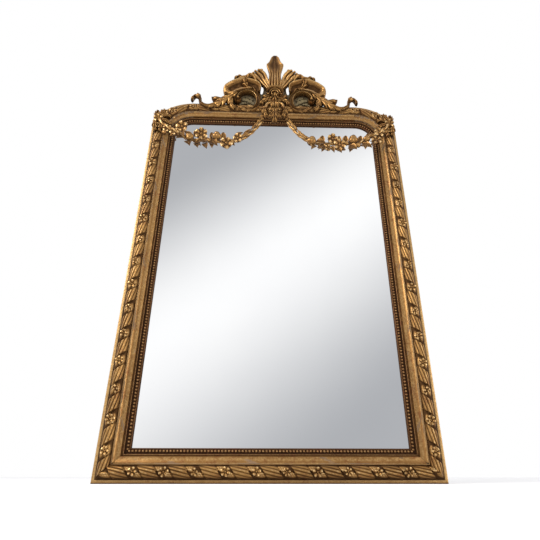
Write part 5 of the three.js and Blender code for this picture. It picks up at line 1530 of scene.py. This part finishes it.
new_pair("spray_carving", spray_shells(), "corner_spray")

# %% [markdown]
# ## Floor and background
# The mirror stands on a pale floor in front of white. The floor could be lit until it turns white,
# but then the gilding would be lit too strongly. So the lamps stay at the level of the object, and
# the floor and the world only look lighter where the camera sees them.

# %% Floor and background
FLOOR_HALF = 6      # metres
FLOOR_GLOW = 0.35   # seen by the camera alone
FLOOR_DARK, FLOOR_LIGHT = (0.93, 0.93, 0.93, 1), (0.96, 0.96, 0.96, 1)
DIM_SKY, WHITE_SKY = (0.5, 0.5, 0.52, 1), (1, 1, 1, 1)


def plane(name, corners, material):
    """A flat sheet with the given corners, in metres."""
    mesh = bpy.data.meshes.new(name)
    mesh.from_pydata(corners, [], [(0, 1, 2, 3)])
    mesh.materials.append(material)
    sheet = bpy.data.objects.new(name, mesh)
    bpy.context.scene.collection.objects.link(sheet)
    return sheet


pale, pale_nodes, pale_shader = new_material("pale_floor", 0.0, (0.9, 0.9, 0.9))
speckle = pale_nodes.noise(pale_nodes.object_point(), 30.0, 3.0)
seen_floor = pale_nodes.add("ShaderNodeLightPath").outputs["Is Camera Ray"]
pale_nodes.join(pale_shader, base_color=pale_nodes.mix(speckle, FLOOR_DARK, FLOOR_LIGHT),
                emission_strength=pale_nodes.math("MULTIPLY", seen_floor, FLOOR_GLOW))
pale_shader.inputs["Roughness"].default_value = 0.9
pale_shader.inputs["Emission Color"].default_value = (1, 1, 1, 1)
floor_corners = [(x * FLOOR_HALF, y * FLOOR_HALF, 0) for x, y in ((-1, -1), (1, -1), (1, 1), (-1, 1))]
plane("floor", floor_corners, pale)

world = bpy.data.worlds.new("white")
bpy.context.scene.world = world
world.use_nodes = True
world_nodes = Nodes(world.node_tree)
backdrop = world.node_tree.nodes["Background"]
path = world_nodes.add("ShaderNodeLightPath").outputs
mirrored = world_nodes.math("MAXIMUM", path["Is Glossy Ray"], path["Is Transmission Ray"])
seen = world_nodes.math("MAXIMUM", path["Is Camera Ray"], mirrored)
world_nodes.join(backdrop, color=world_nodes.mix(seen, DIM_SKY, WHITE_SKY))
backdrop.inputs["Strength"].default_value = 1.0
print("floor", 2 * FLOOR_HALF, "m wide, background", world.name)

# %% [markdown]
# ## Lamps
# A big soft lamp from the upper left gives the gilding its shine, and a weaker one fills the
# shadows from the right. Small lamps would draw hard sparks on every lobe, so both are broad.

# %% Lamps


def lamp(name, place, target, size, power, colour):
    """A square soft lamp at place, facing target: its axes are right, back cross right, and back."""
    light = bpy.data.lights.new(name, "AREA")
    light.shape, light.size, light.energy, light.color = "SQUARE", size, power, colour
    holder = bpy.data.objects.new(name, light)
    away = np.array(place, float) - np.array(target, float)
    back = away / np.linalg.norm(away)
    right = np.cross([0, 0, 1.0], back)
    right /= np.linalg.norm(right)
    matrix = np.eye(4)
    matrix[:3, :3] = np.stack([right, np.cross(back, right), back], -1)
    matrix[:3, 3] = place
    holder.matrix_world = Matrix(matrix.tolist())
    bpy.context.scene.collection.objects.link(holder)


lamp("key", (-2.9, -2.6, 2.9), (0, 0, 1.0), size=2.4, power=113, colour=(1.0, 0.97, 0.92))
lamp("fill", (2.6, -2.4, 0.9), (0, 0, 0.5), size=1.6, power=30, colour=(1.0, 0.98, 0.95))
print("lamps:", ", ".join(lamp_data.name for lamp_data in bpy.data.lights))

# %% [markdown]
# ## What the glass reflects
# A polished glass shows whatever stands in front of it, so that has to be made too. A card that
# the camera never sees stands in front of the mirror: white in a slanting band, and a cool grey to
# both sides of it. The card is lit by itself, so the lamps don't change it. The carving that hangs
# over the glass is hidden from reflections, so that the glass stays as plain as in the photograph.

# %% The card
CARD_AWAY, CARD_HALF, CARD_LOW, CARD_HIGH = 4.5, 4, 0.05, 8  # metres
CARD_GLOW = 1.04
BAND_ASIDE, BAND_UP, BAND_START = 0.616, -0.788, 0.54  # the slanting measure at the glass
GREY_BELOW, GREY_ABOVE = 0.62, -0.54                   # where it has turned fully grey
WHITE, COOL_GREY = (1, 1, 1, 1), (0.43, 0.44, 0.46, 1)
HIDDEN_FROM_GLASS = ("left_garland_carving", "right_garland_carving", "pendant_carving",
                     "left_scroll_carving", "right_scroll_carving")

card_material = bpy.data.materials.new("card")
card_material.use_nodes = True
card_nodes = Nodes(card_material.node_tree)
card_nodes.tree.nodes.remove(card_nodes.tree.nodes["Principled BSDF"])
glow = card_nodes.add("ShaderNodeEmission", None, Strength=CARD_GLOW)
card_point = card_nodes.add("ShaderNodeSeparateXYZ", None, Vector=card_nodes.object_point()).outputs
glass_y = (WALL - GLASS_FRONT) * MM
to_camera = glass_y - camera.location.y
spread = (to_camera + glass_y + CARD_AWAY) / to_camera
slant = card_nodes.weighed(card_point["X"], BAND_ASIDE / spread, card_point["Z"], BAND_UP / spread)
slant = card_nodes.math("ADD", slant, BAND_START)
grey = card_nodes.math("ADD", card_nodes.ramp(slant, 0.0, GREY_BELOW),
                       card_nodes.ramp(slant, 0.0, GREY_ABOVE))
card_nodes.join(glow, color=card_nodes.mix(grey, WHITE, COOL_GREY))
card_nodes.join(card_nodes.tree.nodes["Material Output"], surface=glow.outputs["Emission"])
card = plane("card", [(x, -CARD_AWAY, z) for x, z in (
    (-CARD_HALF, CARD_LOW), (CARD_HALF, CARD_LOW), (CARD_HALF, CARD_HIGH), (-CARD_HALF, CARD_HIGH))],
    card_material)
card.visible_camera = False
card.visible_diffuse = False
for name in HIDDEN_FROM_GLASS:
    bpy.data.objects[name].visible_glossy = False
print(f"the card is seen {spread:.2f} times as large as at the glass")

# %% [markdown]
